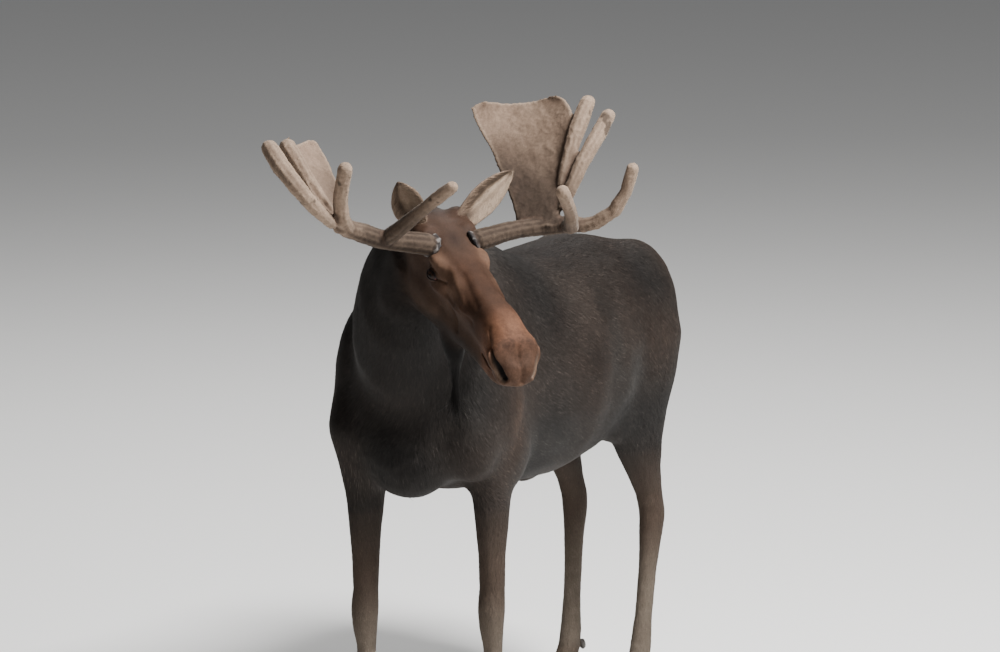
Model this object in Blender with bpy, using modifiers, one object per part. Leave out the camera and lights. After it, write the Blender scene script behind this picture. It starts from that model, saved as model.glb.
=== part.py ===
"""Bull moose in velvet, life size, standing with its head turned to its left.

Metres, +Z up. The moose faces -Y and its left side is +X. The flesh is modelled whole from
lofts and muscle masses, made one skin by a voxel remesh, and then parted with thin flat cuts.
Eyes, antlers, ears and hooves are solids of their own, set against it with a small gap.
"""

import math

import bmesh
import bpy
from mathutils import Matrix, Vector

# ---- driving dimensions ------------------------------------------------------------------
FLESH_VOXEL = 0.0085       # grid of the remesh that makes the flesh one skin
FLESH_TRIANGLES = 3620     # what the flesh is reduced to before it is parted
GAP = 0.0003               # clearance between neighbouring solids
RING = 20                  # points round a loft section
PALM_RING = 18             # points round a palm's section
TUBE_RING = {"beam": 10, "tine": 8, "finger": 8, "tail": 9}
CLAW_RING = 10
EAR_HALF_RING = 6          # points on each face of an ear's section
EYE_SEGMENTS = 10
DEWCLAW_SEGMENTS = 6

# How the flesh is eased: less on the legs, face and ears' side than on the body.
EASE_ROUNDS = 50
EASE_FACTOR = 0.5
EASE_LEAST = 0.16
EASE_HEIGHT = (0.62, 0.35)         # full easing grows from this height, over this span
EASE_FROM_HEAD = (0.35, 0.40)      # and from this distance behind the head
HEAD_SIDE = (0.18, -0.30, 1.30)    # to the left of, ahead of and above these is head and bell

# Each trunk station: distance behind the forelegs, top, bottom, half width.
TRUNK = (
    (-0.24, 1.46, 1.06, 0.15),
    (-0.14, 1.61, 0.98, 0.225),
    (-0.02, 1.73, 0.93, 0.265),
    (0.11, 1.79, 0.90, 0.28),
    (0.25, 1.745, 0.885, 0.285),
    (0.42, 1.665, 0.87, 0.305),
    (0.62, 1.64, 0.862, 0.325),
    (0.82, 1.645, 0.89, 0.315),
    (1.00, 1.65, 0.97, 0.285),
    (1.15, 1.62, 1.06, 0.25),
    (1.27, 1.55, 1.16, 0.205),
    (1.34, 1.46, 1.25, 0.14),
)

# Each neck station: centre, half width, rise above the centre, drop below it.
NECK = (
    ((0.00, 0.12, 1.42), 0.225, 0.27, 0.36),
    ((0.005, -0.06, 1.46), 0.215, 0.26, 0.35),
    ((0.04, -0.20, 1.545), 0.185, 0.23, 0.29),
    ((0.11, -0.32, 1.645), 0.155, 0.20, 0.235),
    ((0.19, -0.405, 1.745), 0.132, 0.17, 0.19),
    ((0.275, -0.47, 1.815), 0.115, 0.13, 0.15),
)

HEAD_ORIGIN = Vector((0.281, -0.475, 1.861))
HEAD_TURN = 57.0           # degrees from straight ahead towards the moose's left
HEAD_PITCH = 22.0          # degrees that the muzzle points below level
HEAD_ROLL = 3.0            # degrees that the left side is raised
HEAD_SIZE = 1.10           # scale of the head's tables
ANTLER_SIZE = 0.967        # scale of the tables of antlers and ears

# Head stations along the head's own axis: forward, centre height, half width, half height.
CRANIUM = (
    (-0.05, -0.005, 0.075, 0.090),
    (0.02, 0.00, 0.088, 0.095),
    (0.09, 0.003, 0.093, 0.094),
    (0.17, 0.00, 0.087, 0.090),
    (0.25, -0.012, 0.075, 0.084),
    (0.33, -0.020, 0.067, 0.075),
    (0.41, -0.024, 0.062, 0.071),
    (0.49, -0.031, 0.065, 0.074),
    (0.54, -0.043, 0.070, 0.073),
    (0.585, -0.058, 0.070, 0.066),
    (0.617, -0.073, 0.063, 0.056),
    (0.638, -0.086, 0.050, 0.043),
    (0.651, -0.093, 0.030, 0.028),
)
JAW = (
    (0.00, -0.10, 0.055, 0.07),
    (0.07, -0.125, 0.064, 0.078),
    (0.16, -0.130, 0.062, 0.074),
    (0.26, -0.128, 0.052, 0.060),
    (0.36, -0.125, 0.045, 0.049),
    (0.46, -0.126, 0.044, 0.045),
    (0.535, -0.130, 0.046, 0.042),
    (0.580, -0.134, 0.034, 0.028),
)
EYE_PLACE = (0.0765, 0.206, 0.004)   # outwards, forwards and up in the head's own frame
EYE_RADIUS = 0.0215
CROWN = (0.119, 0.057)               # forwards and up to the point between the antlers' roots

# Masses of the face in the head's own frame: place (outwards, forwards, up), radii, turn.
FACE_MASSES = (
    ((0.055, 0.125, -0.085), (0.040, 0.110, 0.085), (8, 0)),      # masseter
    ((0.066, 0.206, 0.032), (0.025, 0.058, 0.028), (0, 0)),       # brow over the eye
    ((0.062, 0.224, -0.020), (0.026, 0.052, 0.028), (0, 0)),      # bone under the eye
    ((0.055, 0.310, -0.030), (0.021, 0.100, 0.026), (-6, 6)),     # cheekbone
    ((0.058, 0.575, -0.050), (0.021, 0.045, 0.043), (-20, 0)),    # wing of the nostril
    ((0.024, 0.608, -0.100), (0.040, 0.038, 0.036), (0, 0)),      # overhanging lip
    ((0.062, 0.100, 0.062), (0.042, 0.048, 0.042), (0, 0)),       # pedicle
    ((0.070, 0.035, 0.072), (0.036, 0.040, 0.040), (0, 0)),       # base of the ear
)

# Masses of the body: place (outwards, along, up), radii, turn about X and Y.
MUSCLES = (
    ((0.185, 0.01, 1.29), (0.135, 0.21, 0.30), (12, -4)),         # shoulder and upper arm
    ((0.205, -0.06, 1.17), (0.105, 0.13, 0.20), (0, 0)),          # point of the shoulder
    ((0.000, -0.12, 1.12), (0.190, 0.15, 0.21), (0, 0)),          # breast
    ((0.190, 0.12, 1.10), (0.100, 0.16, 0.21), (25, 0)),          # triceps
    ((0.080, 0.08, 1.62), (0.080, 0.22, 0.13), (-8, 0)),          # hump
    ((0.150, 1.10, 1.36), (0.140, 0.26, 0.27), (0, -4)),          # haunch
    ((0.175, 1.00, 1.16), (0.110, 0.18, 0.24), (-18, 0)),         # thigh
    ((0.110, 1.23, 1.31), (0.105, 0.13, 0.20), (4, 0)),           # buttock
    ((0.012, 0.66, 0.865), (0.030, 0.085, 0.030), (8, 0)),        # sheath
)

# The bell, in the level frame at the head's origin: forwards, up, radius.
BELL = ((0.17, -0.20, 0.055), (0.18, -0.28, 0.056), (0.19, -0.345, 0.051), (0.197, -0.39, 0.034),
        (0.20, -0.43, 0.021), (0.20, -0.465, 0.026), (0.20, -0.49, 0.024), (0.20, -0.505, 0.012))

LEG_SPREAD_FROM = 1.1      # height below which the legs spread and swing
# Leg stations: height, shift forward (-) or back (+), half width, half length fore and aft.
FORELEG = (
    (1.42, 0.10, 0.075, 0.13),
    (1.28, 0.03, 0.090, 0.155),
    (1.14, -0.03, 0.088, 0.150),
    (1.02, -0.01, 0.074, 0.120),
    (0.92, 0.00, 0.062, 0.094),
    (0.82, 0.00, 0.053, 0.074),
    (0.70, 0.00, 0.045, 0.058),
    (0.59, 0.00, 0.043, 0.050),
    (0.52, -0.006, 0.048, 0.052),
    (0.455, -0.004, 0.042, 0.047),
    (0.39, 0.004, 0.033, 0.040),
    (0.28, 0.006, 0.031, 0.037),
    (0.205, 0.004, 0.036, 0.041),
    (0.165, 0.002, 0.041, 0.045),
    (0.125, -0.012, 0.038, 0.041),
    (0.075, -0.034, 0.047, 0.052),
)
HINDLEG = (
    (1.42, -0.03, 0.095, 0.20),
    (1.28, -0.03, 0.115, 0.250),
    (1.14, -0.045, 0.112, 0.222),
    (1.02, -0.05, 0.092, 0.180),
    (0.91, -0.015, 0.070, 0.130),
    (0.81, 0.03, 0.053, 0.090),
    (0.72, 0.078, 0.043, 0.064),
    (0.655, 0.105, 0.042, 0.064),
    (0.60, 0.105, 0.042, 0.056),
    (0.53, 0.095, 0.037, 0.046),
    (0.43, 0.082, 0.033, 0.039),
    (0.30, 0.066, 0.032, 0.037),
    (0.21, 0.054, 0.037, 0.041),
    (0.17, 0.048, 0.041, 0.045),
    (0.13, 0.032, 0.038, 0.041),
    (0.078, 0.010, 0.047, 0.052),
)
LEGS = {
    # name: (stations, side, place across, place along, swing of the foot fore and aft, swing across)
    "foreleg_left": (FORELEG, 1, 0.195, 0.085, 0.03, -0.015),
    "foreleg_right": (FORELEG, -1, 0.195, -0.075, -0.03, -0.015),
    "hindleg_left": (HINDLEG, 1, 0.185, 1.13, -0.04, -0.01),
    "hindleg_right": (HINDLEG, -1, 0.185, 1.19, 0.05, -0.01),
}
# Boxes that part the flesh, each in its own frame, as low and high corners.
HEAD_BOX = ((-0.35, -0.80, -0.24), (0.35, 0.035, 0.40))
BELL_BOX = ((-0.12, -0.30, -0.62), (0.12, -0.10, -0.25))
NECK_BOX = ((-0.6, -1.2, -0.9), (0.9, 0.0, 0.9))
TRUNK_BOX = ((-1.0, -1.0, 0.5), (1.0, 3.0, 3.0))
LEG_BOX = (0.6, -0.33, 0.40)       # outwards, and ahead of and behind the leg's line
BODY_CUT = {"foreleg": 0.87, "hindleg": 0.90}      # height where a leg is parted from the trunk
CANNON_CUT = {"foreleg": 0.445, "hindleg": 0.525}   # height where its lower half begins
CORONET_HEIGHT = 0.075                              # height where the hooves begin

# Antlers, in the level head frame: outwards, forwards, up, radius.
BEAM = {
    "left": ((0.05, 0.03, -0.02, 0.034), (0.10, 0.04, 0.0, 0.037), (0.17, 0.045, 0.015, 0.033),
             (0.24, 0.05, 0.025, 0.031), (0.32, 0.075, 0.032, 0.031), (0.39, 0.12, 0.04, 0.029),
             (0.43, 0.155, 0.04, 0.025)),
    "right": ((0.05, 0.03, -0.02, 0.034), (0.10, 0.045, 0.0, 0.038), (0.17, 0.05, 0.013, 0.035),
              (0.27, 0.07, 0.03, 0.033), (0.36, 0.10, 0.065, 0.033), (0.42, 0.125, 0.085, 0.030),
              (0.455, 0.155, 0.10, 0.024)),
}
OUTER_TINE = {
    "left": ((0.42, 0.145, 0.04, 0.025), (0.455, 0.18, 0.05, 0.025), (0.50, 0.225, 0.09, 0.024),
             (0.525, 0.26, 0.16, 0.022), (0.535, 0.285, 0.235, 0.021)),
    "right": ((0.43, 0.14, 0.09, 0.026), (0.465, 0.175, 0.125, 0.026), (0.486, 0.205, 0.18, 0.0255),
              (0.50, 0.25, 0.245, 0.0255), (0.505, 0.285, 0.305, 0.024)),
}
INNER_TINE = {
    "left": ((0.38, 0.11, 0.035, 0.026), (0.36, 0.19, 0.045, 0.025), (0.30, 0.30, 0.10, 0.023),
             (0.235, 0.39, 0.170, 0.023), (0.205, 0.425, 0.202, 0.024)),
    "right": ((0.27, 0.07, 0.03, 0.028), (0.255, 0.13, 0.06, 0.027), (0.235, 0.24, 0.13, 0.023),
              (0.21, 0.35, 0.20, 0.022), (0.195, 0.42, 0.243, 0.022)),
}
PALM_PLACE = {"left": (0.30, 0.065, 0.035), "right": (0.405, 0.075, 0.085)}
PALM_ACROSS = {"left": (0.757, 0.63, 0.173), "right": (0.65, 0.74, 0.12)}
PALM_RISE = {"left": (0.305, -0.49, 0.81), "right": (0.36, -0.50, 0.70)}
PALM_STRETCH = {"left": 1.0, "right": 0.72}
# Palm stations: rise, inner edge, outer edge, half thickness.
PALM = (
    (-0.015, -0.070, 0.060, 0.026),
    (0.045, -0.076, 0.080, 0.019),
    (0.115, -0.100, 0.118, 0.015),
    (0.20, -0.134, 0.140, 0.0135),
    (0.285, -0.170, 0.134, 0.013),
    (0.355, -0.210, 0.122, 0.013),
    (0.405, -0.232, 0.108, 0.0135),
    (0.434, -0.241, 0.089, 0.013),
    (0.450, -0.226, 0.068, 0.011),
    (0.458, -0.198, 0.040, 0.007),
)
PALM_WIDTH = {"left": (1.0, 1.0), "right": (0.78, 1.6)}     # of its inner and outer half
PALM_CUP = 0.045
# Fingers in the palm's own frame: across, rise, in front of the plate, radius.
FINGERS = {
    "left": (
        ((0.078, 0.13, 0.012, 0.018), (0.095, 0.20, 0.022, 0.023), (0.120, 0.29, 0.036, 0.027),
         (0.146, 0.365, 0.044, 0.029), (0.163, 0.416, 0.046, 0.027)),
        ((0.080, 0.05, 0.008, 0.018), (0.118, 0.12, 0.026, 0.023), (0.152, 0.20, 0.034, 0.026),
         (0.188, 0.28, 0.026, 0.027), (0.212, 0.34, 0.016, 0.027), (0.224, 0.375, 0.010, 0.026)),
    ),
    "right": (
        ((0.100, 0.075, 0.014, 0.016), (0.155, 0.130, 0.026, 0.022), (0.194, 0.21, 0.036, 0.027),
         (0.198, 0.30, 0.044, 0.030), (0.182, 0.392, 0.046, 0.029)),
        ((0.135, 0.004, 0.004, 0.019), (0.232, 0.052, 0.016, 0.022), (0.305, 0.120, 0.026, 0.027),
         (0.328, 0.20, 0.028, 0.029), (0.312, 0.30, 0.022, 0.030), (0.268, 0.412, 0.016, 0.029)),
    ),
}

# Ears: base and axis in the level head frame, and the way the opening faces.
EAR_BASE = (0.088, -0.055, 0.050)
EAR_AXIS = {"left": (0.1545, 0.02, 0.145), "right": (0.113, 0.106, 0.154)}
EAR_OPENS = {"left": (-0.4, 0.9, 0.1), "right": (0.15, 0.8, -0.35)}
# Ear stations: distance along, half width, half thickness, depth of the hollow.
EAR = (
    (-0.035, 0.028, 0.024, 0.0),
    (0.00, 0.034, 0.020, 0.006),
    (0.035, 0.043, 0.009, 0.022),
    (0.08, 0.051, 0.006, 0.028),
    (0.125, 0.049, 0.005, 0.025),
    (0.165, 0.038, 0.0045, 0.016),
    (0.197, 0.022, 0.004, 0.006),
    (0.216, 0.010, 0.0035, 0.0),
    (0.222, 0.004, 0.003, 0.0),
)

# A claw's rings: height, reach forward, reach back, half width, turn of the toe inwards.
CLAW = (
    (0.0, 0.098, 0.048, 0.0255, -0.004),
    (0.012, 0.100, 0.052, 0.0270, -0.004),
    (0.040, 0.083, 0.053, 0.0262, -0.003),
    (0.0747, 0.060, 0.050, 0.0235, 0.0),
)
CLAW_APART = 0.0015        # from the middle of the foot to each claw
DEWCLAW_HEIGHT = 0.120
DEWCLAW_APART = 0.026
DEWCLAW_SIZE = (0.014, 0.019, 0.027)
DEWCLAW_TILT = 28.0
DEWCLAW_BACK = {"foreleg": 0.040, "hindleg": 0.084}

# The tail's path and radius.
TAIL = ((0, 1.30, 1.53, 0.030), (0, 1.35, 1.50, 0.030), (0, 1.385, 1.45, 0.027),
        (0, 1.395, 1.40, 0.021), (0, 1.395, 1.372, 0.010))
NECK_CUT = ((0.0, -0.10, 1.45), -22.0)    # a point on the plane, and its lean in degrees


# ---- small helpers -----------------------------------------------------------------------
def clear_scene():
    for leftover in list(bpy.data.objects):
        bpy.data.objects.remove(leftover, do_unlink=True)


def new_collection(name):
    made = bpy.data.collections.new(name)
    bpy.context.scene.collection.children.link(made)
    return made


def material(name, colour, roughness):
    made = bpy.data.materials.new(name)
    made.use_nodes = True
    surface = made.node_tree.nodes["Principled BSDF"]
    surface.inputs["Base Color"].default_value = (*colour, 1.0)
    surface.inputs["Roughness"].default_value = roughness
    made.diffuse_color = (*colour, 1.0)
    return made


def object_from(bm, name, collection, finish=None):
    bmesh.ops.recalc_face_normals(bm, faces=bm.faces)
    mesh = bpy.data.meshes.new(name)
    bm.to_mesh(mesh)
    bm.free()
    made = bpy.data.objects.new(name, mesh)
    collection.objects.link(made)
    if finish:
        mesh.materials.append(finish)
    mesh.shade_smooth()
    return made


def helper(obj):
    """Marks a guide or cutter, which isn't part of the moose."""
    obj.hide_render = True
    obj.display_type = "WIRE"
    return obj


def applied(obj, name, collection, finish=None):
    """The object's evaluated mesh as a new object, in place of the old one."""
    graph = bpy.context.evaluated_depsgraph_get()
    mesh = bpy.data.meshes.new_from_object(obj.evaluated_get(graph))
    mesh.name = name
    mesh.transform(obj.matrix_world)
    bpy.data.objects.remove(obj, do_unlink=True)
    made = bpy.data.objects.new(name, mesh)
    collection.objects.link(made)
    mesh.materials.clear()
    if finish:
        mesh.materials.append(finish)
    return made


# ---- lofts -------------------------------------------------------------------------------
def loft(bm, rings):
    """A closed tube through rings of equally many points, each a list of Vectors."""
    loops = [[bm.verts.new(point) for point in ring] for ring in rings]
    count = len(loops[0])
    for lower, upper in zip(loops, loops[1:]):
        for i in range(count):
            j = (i + 1) % count
            bm.faces.new((lower[i], lower[j], upper[j], upper[i]))
    bm.faces.new(list(reversed(loops[0])))
    bm.faces.new(loops[-1])


def oval(centre, across, rise, half_width, above, below, fullness=2.2, points=RING):
    """A ring round centre: a superellipse that may be taller above its centre than below."""
    ring = []
    for i in range(points):
        angle = 2 * math.pi * i / points
        c, s = math.cos(angle), math.sin(angle)
        x = half_width * math.copysign(abs(c) ** (2 / fullness), c)
        z = (above if s > 0 else below) * math.copysign(abs(s) ** (2 / fullness), s)
        ring.append(centre + across * x + rise * z)
    return ring


def rounded(path):
    """The path with its last (x, y, z, radius) row carried on as a rounded tip."""
    before, last, radius = Vector(path[-2][:3]), Vector(path[-1][:3]), path[-1][3]
    along = (last - before).normalized()
    tip = []
    for angle in (30, 58, 82):
        place = last + along * radius * math.sin(math.radians(angle))
        tip.append((*place, radius * math.cos(math.radians(angle))))
    return list(path) + tip


def tube_along(bm, path, points=12, side=Vector((0, 0, 1))):
    """A round tube through (x, y, z, radius) rows, each ring square to the path."""
    centres = [Vector(row[:3]) for row in path]
    rings = []
    for i, centre in enumerate(centres):
        before = centres[max(i - 1, 0)]
        after = centres[min(i + 1, len(centres) - 1)]
        along = (after - before).normalized()
        across = along.cross(side).normalized()
        rings.append(oval(centre, across, across.cross(along), path[i][3], path[i][3],
                          path[i][3], fullness=2.0, points=points))
    loft(bm, rings)


def ball(bm, centre, radii, turn=Matrix.Identity(4), segments=20, frame=Matrix.Identity(4)):
    """An ellipsoid in a frame, with its own axes turned by a matrix."""
    place = frame @ Matrix.Translation(centre) @ turn @ Matrix.Diagonal((*radii, 1.0))
    bmesh.ops.create_uvsphere(bm, u_segments=segments, v_segments=segments // 2, radius=1.0,
                              matrix=place)


def turned(x=0.0, y=0.0, z=0.0):
    """A rotation from degrees about X, then Y, then Z."""
    return (Matrix.Rotation(math.radians(z), 4, "Z") @ Matrix.Rotation(math.radians(y), 4, "Y")
            @ Matrix.Rotation(math.radians(x), 4, "X"))


# ---- frames of the head ------------------------------------------------------------------
# In both frames +X is the moose's left, -Y is forwards and +Z is up.
def level_frame(origin):
    return Matrix.Translation(origin) @ turned(z=HEAD_TURN)


def head_frame():
    return (level_frame(HEAD_ORIGIN) @ turned(y=-HEAD_ROLL) @ turned(x=HEAD_PITCH)
            @ Matrix.Scale(HEAD_SIZE, 4))


def crown_frame():
    """The level frame midway between the antlers' roots."""
    crown = head_frame() @ Vector((0, -CROWN[0], CROWN[1]))
    return level_frame(crown) @ Matrix.Scale(ANTLER_SIZE, 4)


def sided(row, side):
    """A row of (outwards, forwards, up, ...) as frame coordinates on one side."""
    return Vector((side * row[0], -row[1], row[2]))


# ---- flesh -------------------------------------------------------------------------------
def add_trunk(bm):
    rings = []
    for along, top, bottom, half_width in TRUNK:
        middle = bottom + 0.50 * (top - bottom)
        rings.append(oval(Vector((0, along, middle)), Vector((1, 0, 0)), Vector((0, 0, 1)),
                          half_width, top - middle, middle - bottom, fullness=2.25))
    loft(bm, rings)


def add_neck(bm):
    centres = [Vector(row[0]) for row in NECK]
    rings = []
    for i, (centre, half_width, above, below) in enumerate(NECK):
        along = (centres[min(i + 1, len(NECK) - 1)] - centres[max(i - 1, 0)]).normalized()
        across = Vector((0, 0, 1)).cross(along).normalized()
        rings.append(oval(Vector(centre), across, along.cross(across), half_width, above, below))
    loft(bm, rings)


def add_legs(bm):
    for name, (stations, side, across, along, swing, spread) in LEGS.items():
        rings = []
        for height, shift, half_width, half_length in stations:
            lower = max(0.0, 1.0 - height / LEG_SPREAD_FROM)
            centre = Vector((side * (across + spread * lower), along + shift + swing * lower,
                             height))
            rings.append(oval(centre, Vector((1, 0, 0)), Vector((0, 1, 0)), half_width,
                              half_length, half_length, fullness=2.1))
        loft(bm, rings)


def add_muscles(bm):
    """The masses over the skeleton of trunk and limbs, on both sides."""
    for side in (1, -1):
        for place, radii, turn in MUSCLES:
            pitch, lean = turn
            ball(bm, Vector((side * place[0], place[1], place[2])), radii,
                 turned(x=pitch, y=side * lean))


def add_head(bm):
    frame = head_frame()
    across, rise = frame.to_3x3() @ Vector((1, 0, 0)), frame.to_3x3() @ Vector((0, 0, 1))
    for stations in (CRANIUM, JAW):
        rings = []
        for forward, height, half_width, half_height in stations:
            rings.append(oval(frame @ Vector((0, -forward, height)), across, rise, half_width,
                              half_height, half_height, fullness=2.3))
        loft(bm, rings)
    for side in (1, -1):
        for place, radii, turn in FACE_MASSES:
            pitch, yaw = turn
            ball(bm, sided(place, side), radii, turned(x=pitch, z=side * yaw), frame=frame)


def add_bell(bm):
    """The flap of skin that hangs under the throat."""
    frame = level_frame(HEAD_ORIGIN)
    across, ahead = frame.to_3x3() @ Vector((1, 0, 0)), frame.to_3x3() @ Vector((0, -1, 0))
    rings = []
    for forward, up, radius in BELL:
        rings.append(oval(frame @ Vector((0, -forward, up)), across, ahead, 0.7 * radius,
                          radius, radius, fullness=2.0, points=12))
    loft(bm, rings)


def share(value, start, span):
    """0 up to start, 1 beyond start + span, even between them."""
    return min(1.0, max(0.0, (value - start) / span))


def flesh(collection, guides):
    """Trunk, neck, head and legs as one closed skin, smoothed and thinned out."""
    bm = bmesh.new()
    for add in (add_trunk, add_neck, add_legs, add_muscles, add_head, add_bell):
        add(bm)
    rough = object_from(bm, "flesh_rough", guides)
    remesh = rough.modifiers.new("One skin", "REMESH")
    remesh.mode = "VOXEL"
    remesh.voxel_size = FLESH_VOXEL
    whole = main_island(applied(rough, "flesh_voxels", guides), triangles=False)

    easing = whole.vertex_groups.new(name="ease")
    for vertex in whole.data.vertices:
        place = vertex.co
        body = (share(place.z, *EASE_HEIGHT)
                * share((place - HEAD_ORIGIN).length, *EASE_FROM_HEAD))
        if place.x > HEAD_SIDE[0] and place.y < HEAD_SIDE[1] and place.z > HEAD_SIDE[2]:
            body = 0.0
        easing.add([vertex.index], EASE_LEAST + (1.0 - EASE_LEAST) * body, "REPLACE")
    smooth = whole.modifiers.new("Ease", "SMOOTH")
    smooth.factor = EASE_FACTOR
    smooth.iterations = EASE_ROUNDS
    smooth.vertex_group = "ease"
    thin = whole.modifiers.new("Thin out", "DECIMATE")
    thin.ratio = FLESH_TRIANGLES / (2.0 * len(whole.data.polygons))
    return main_island(applied(whole, "flesh", guides))


# ---- parting -----------------------------------------------------------------------------
def box(low, high, frame, name, guides):
    """A cutter box between two corners given in a frame."""
    bm = bmesh.new()
    bmesh.ops.create_cube(bm, size=1.0)
    low, high = Vector(low), Vector(high)
    size = high - low
    bmesh.ops.transform(bm, verts=bm.verts,
                        matrix=frame @ Matrix.Translation((low + high) / 2)
                        @ Matrix.Diagonal((*size, 1.0)))
    return helper(object_from(bm, name, guides))


def boolean(obj, cutter, operation, name, collection, finish=None):
    """A new object: obj with the cutter taken away, or only what both share."""
    twin = bpy.data.objects.new(name + "_uncut", obj.data.copy())
    collection.objects.link(twin)
    cut = twin.modifiers.new("Cut", "BOOLEAN")
    cut.operation = operation
    cut.object = cutter
    return applied(twin, name, collection, finish)


def main_island(obj, triangles=True):
    """Drops the slivers that a cut may leave beside the one real body."""
    bm = bmesh.new()
    bm.from_mesh(obj.data)
    bmesh.ops.remove_doubles(bm, verts=bm.verts, dist=0.00002)
    bmesh.ops.dissolve_degenerate(bm, edges=bm.edges, dist=0.00002)
    if triangles:
        bmesh.ops.triangulate(bm, faces=bm.faces)
    unseen = set(bm.verts)
    islands = []
    while unseen:
        reach = [unseen.pop()]
        island = set(reach)
        while reach:
            vertex = reach.pop()
            for edge in vertex.link_edges:
                other = edge.other_vert(vertex)
                if other in unseen:
                    unseen.remove(other)
                    island.add(other)
                    reach.append(other)
        islands.append(island)
    islands.sort(key=len)
    for island in islands[:-1]:
        bmesh.ops.delete(bm, geom=list(island), context="VERTS")
    bm.to_mesh(obj.data)
    bm.free()
    return obj


def part_off(rest, low, high, frame, name, collection, guides, finish):
    """Parts the flesh inside a box from the rest, with a gap between the two."""
    inner_low = Vector(low) + Vector((GAP, GAP, GAP)) / 2
    inner_high = Vector(high) - Vector((GAP, GAP, GAP)) / 2
    outer_low = Vector(low) - Vector((GAP, GAP, GAP)) / 2
    outer_high = Vector(high) + Vector((GAP, GAP, GAP)) / 2
    keep = box(inner_low, inner_high, frame, name + "_keep", guides)
    lose = box(outer_low, outer_high, frame, name + "_lose", guides)
    piece = boolean(rest, keep, "INTERSECT", name, collection, finish)
    left_over = boolean(rest, lose, "DIFFERENCE", "rest_after_" + name, guides)
    for spent in (rest, keep, lose):
        bpy.data.objects.remove(spent, do_unlink=True)
    return main_island(piece), left_over


def set_against(piece, body, guides, clearance=GAP * 1.35):
    """Cuts a piece back so that it stands clear of a body by the gap."""
    grown = bpy.data.objects.new(body.name + "_grown", body.data.copy())
    guides.objects.link(grown)
    push = grown.modifiers.new("Grow", "DISPLACE")
    push.strength = clearance
    push.mid_level = 0.0
    cutter = helper(applied(grown, body.name + "_cutter", guides))
    name, finish = piece.name, piece.data.materials[0]
    home = piece.users_collection[0]
    piece.name = name + "_whole"
    cut = boolean(piece, cutter, "DIFFERENCE", name, home, finish)
    for spent in (piece, cutter):
        bpy.data.objects.remove(spent, do_unlink=True)
    cut.name = name
    return main_island(cut)


# ---- pieces of their own -----------------------------------------------------------------
def eyeball(name, side, collection, finish):
    bm = bmesh.new()
    place = head_frame() @ sided(EYE_PLACE, side)
    ball(bm, place, (EYE_RADIUS,) * 3, segments=EYE_SEGMENTS)
    return object_from(bm, name, collection, finish)


def socket_for(eye, guides):
    bm = bmesh.new()
    bm.from_mesh(eye.data)
    middle = sum((vertex.co for vertex in bm.verts), Vector()) / len(bm.verts)
    for vertex in bm.verts:
        vertex.co += (vertex.co - middle).normalized() * GAP
    return helper(object_from(bm, eye.name + "_socket", guides))


def ear(name, side_name, side, collection, finish):
    """A cupped leaf: each ring is a thin crescent, deepest in the middle of the ear."""
    frame = crown_frame()
    base = frame @ sided(EAR_BASE, side)
    axis = (frame.to_3x3() @ sided(EAR_AXIS[side_name], side)).normalized()
    opens = frame.to_3x3() @ sided(EAR_OPENS[side_name], side)
    across = axis.cross(opens).normalized()
    opens = across.cross(axis).normalized()
    rings = []
    for distance, half_width, half_thickness, hollow in EAR:
        centre = base + axis * distance
        ring = []
        for face in (1, -1):
            for i in range(EAR_HALF_RING):
                t = face * (1 - 2 * i / EAR_HALF_RING)
                rim = max(0.0, 1 - t * t)
                deep = -hollow * rim
                thick = half_thickness * (0.45 + 0.55 * rim ** 0.5)
                ring.append(centre + across * (t * half_width) + opens * (deep + face * thick))
        rings.append(ring)
    bm = bmesh.new()
    loft(bm, rings)
    return object_from(bm, name, collection, finish)


def antler_tube(name, rows, side, collection, finish, points):
    frame = crown_frame()
    path = [(*(frame @ sided(row, side)), row[3] * ANTLER_SIZE) for row in rows]
    if len(rows) < 6:
        path = rounded(path)
    bm = bmesh.new()
    tube_along(bm, path, points=points, side=frame.to_3x3() @ Vector((0.1, 0.2, 1)))
    return object_from(bm, name, collection, finish)


def palm_axes(side_name, side):
    """Origin, across, rise and facing of a palm in world space, each of the antlers' size."""
    frame = crown_frame()
    turn = frame.to_3x3()
    rise = (turn @ sided(PALM_RISE[side_name], side)).normalized()
    across = turn @ sided(PALM_ACROSS[side_name], side)
    across = (across - rise * across.dot(rise)).normalized()
    facing = across.cross(rise)
    if facing.dot(turn @ Vector((0, -1, 0))) < 0:
        facing = -facing
    rise *= PALM_STRETCH[side_name]
    return (frame @ sided(PALM_PLACE[side_name], side), across * ANTLER_SIZE,
            rise * ANTLER_SIZE, facing * ANTLER_SIZE)


def palm(name, side_name, side, collection, finish):
    """A thin cupped plate: its edges stand forward of its middle."""
    origin, across, rise, facing = palm_axes(side_name, side)
    rings = []
    inner_width, outer_width = PALM_WIDTH[side_name]
    for height, inner, outer, half_thickness in PALM:
        inner, outer = inner * inner_width, outer * outer_width
        middle, half_width = (inner + outer) / 2, (outer - inner) / 2
        cup = PALM_CUP * min(1.0, max(0.0, height / 0.25))
        ring = []
        for i in range(PALM_RING):
            angle = 2 * math.pi * i / PALM_RING
            t = math.cos(angle)
            thick = half_thickness * math.copysign(abs(math.sin(angle)) ** 0.6, math.sin(angle))
            ring.append(origin + across * (middle + half_width * t) + rise * height
                        + facing * (cup * t * t + thick))
        rings.append(ring)
    bm = bmesh.new()
    loft(bm, rings)
    return object_from(bm, name, collection, finish)


def finger(name, rows, side_name, side, collection, finish):
    origin, across, rise, facing = palm_axes(side_name, side)
    path = []
    for over, height, front, radius in rows:
        place = origin + across * over + rise * height + facing * front
        path.append((*place, radius * ANTLER_SIZE))
    bm = bmesh.new()
    tube_along(bm, rounded(path), points=TUBE_RING["finger"], side=facing)
    return object_from(bm, name, collection, finish)


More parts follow.
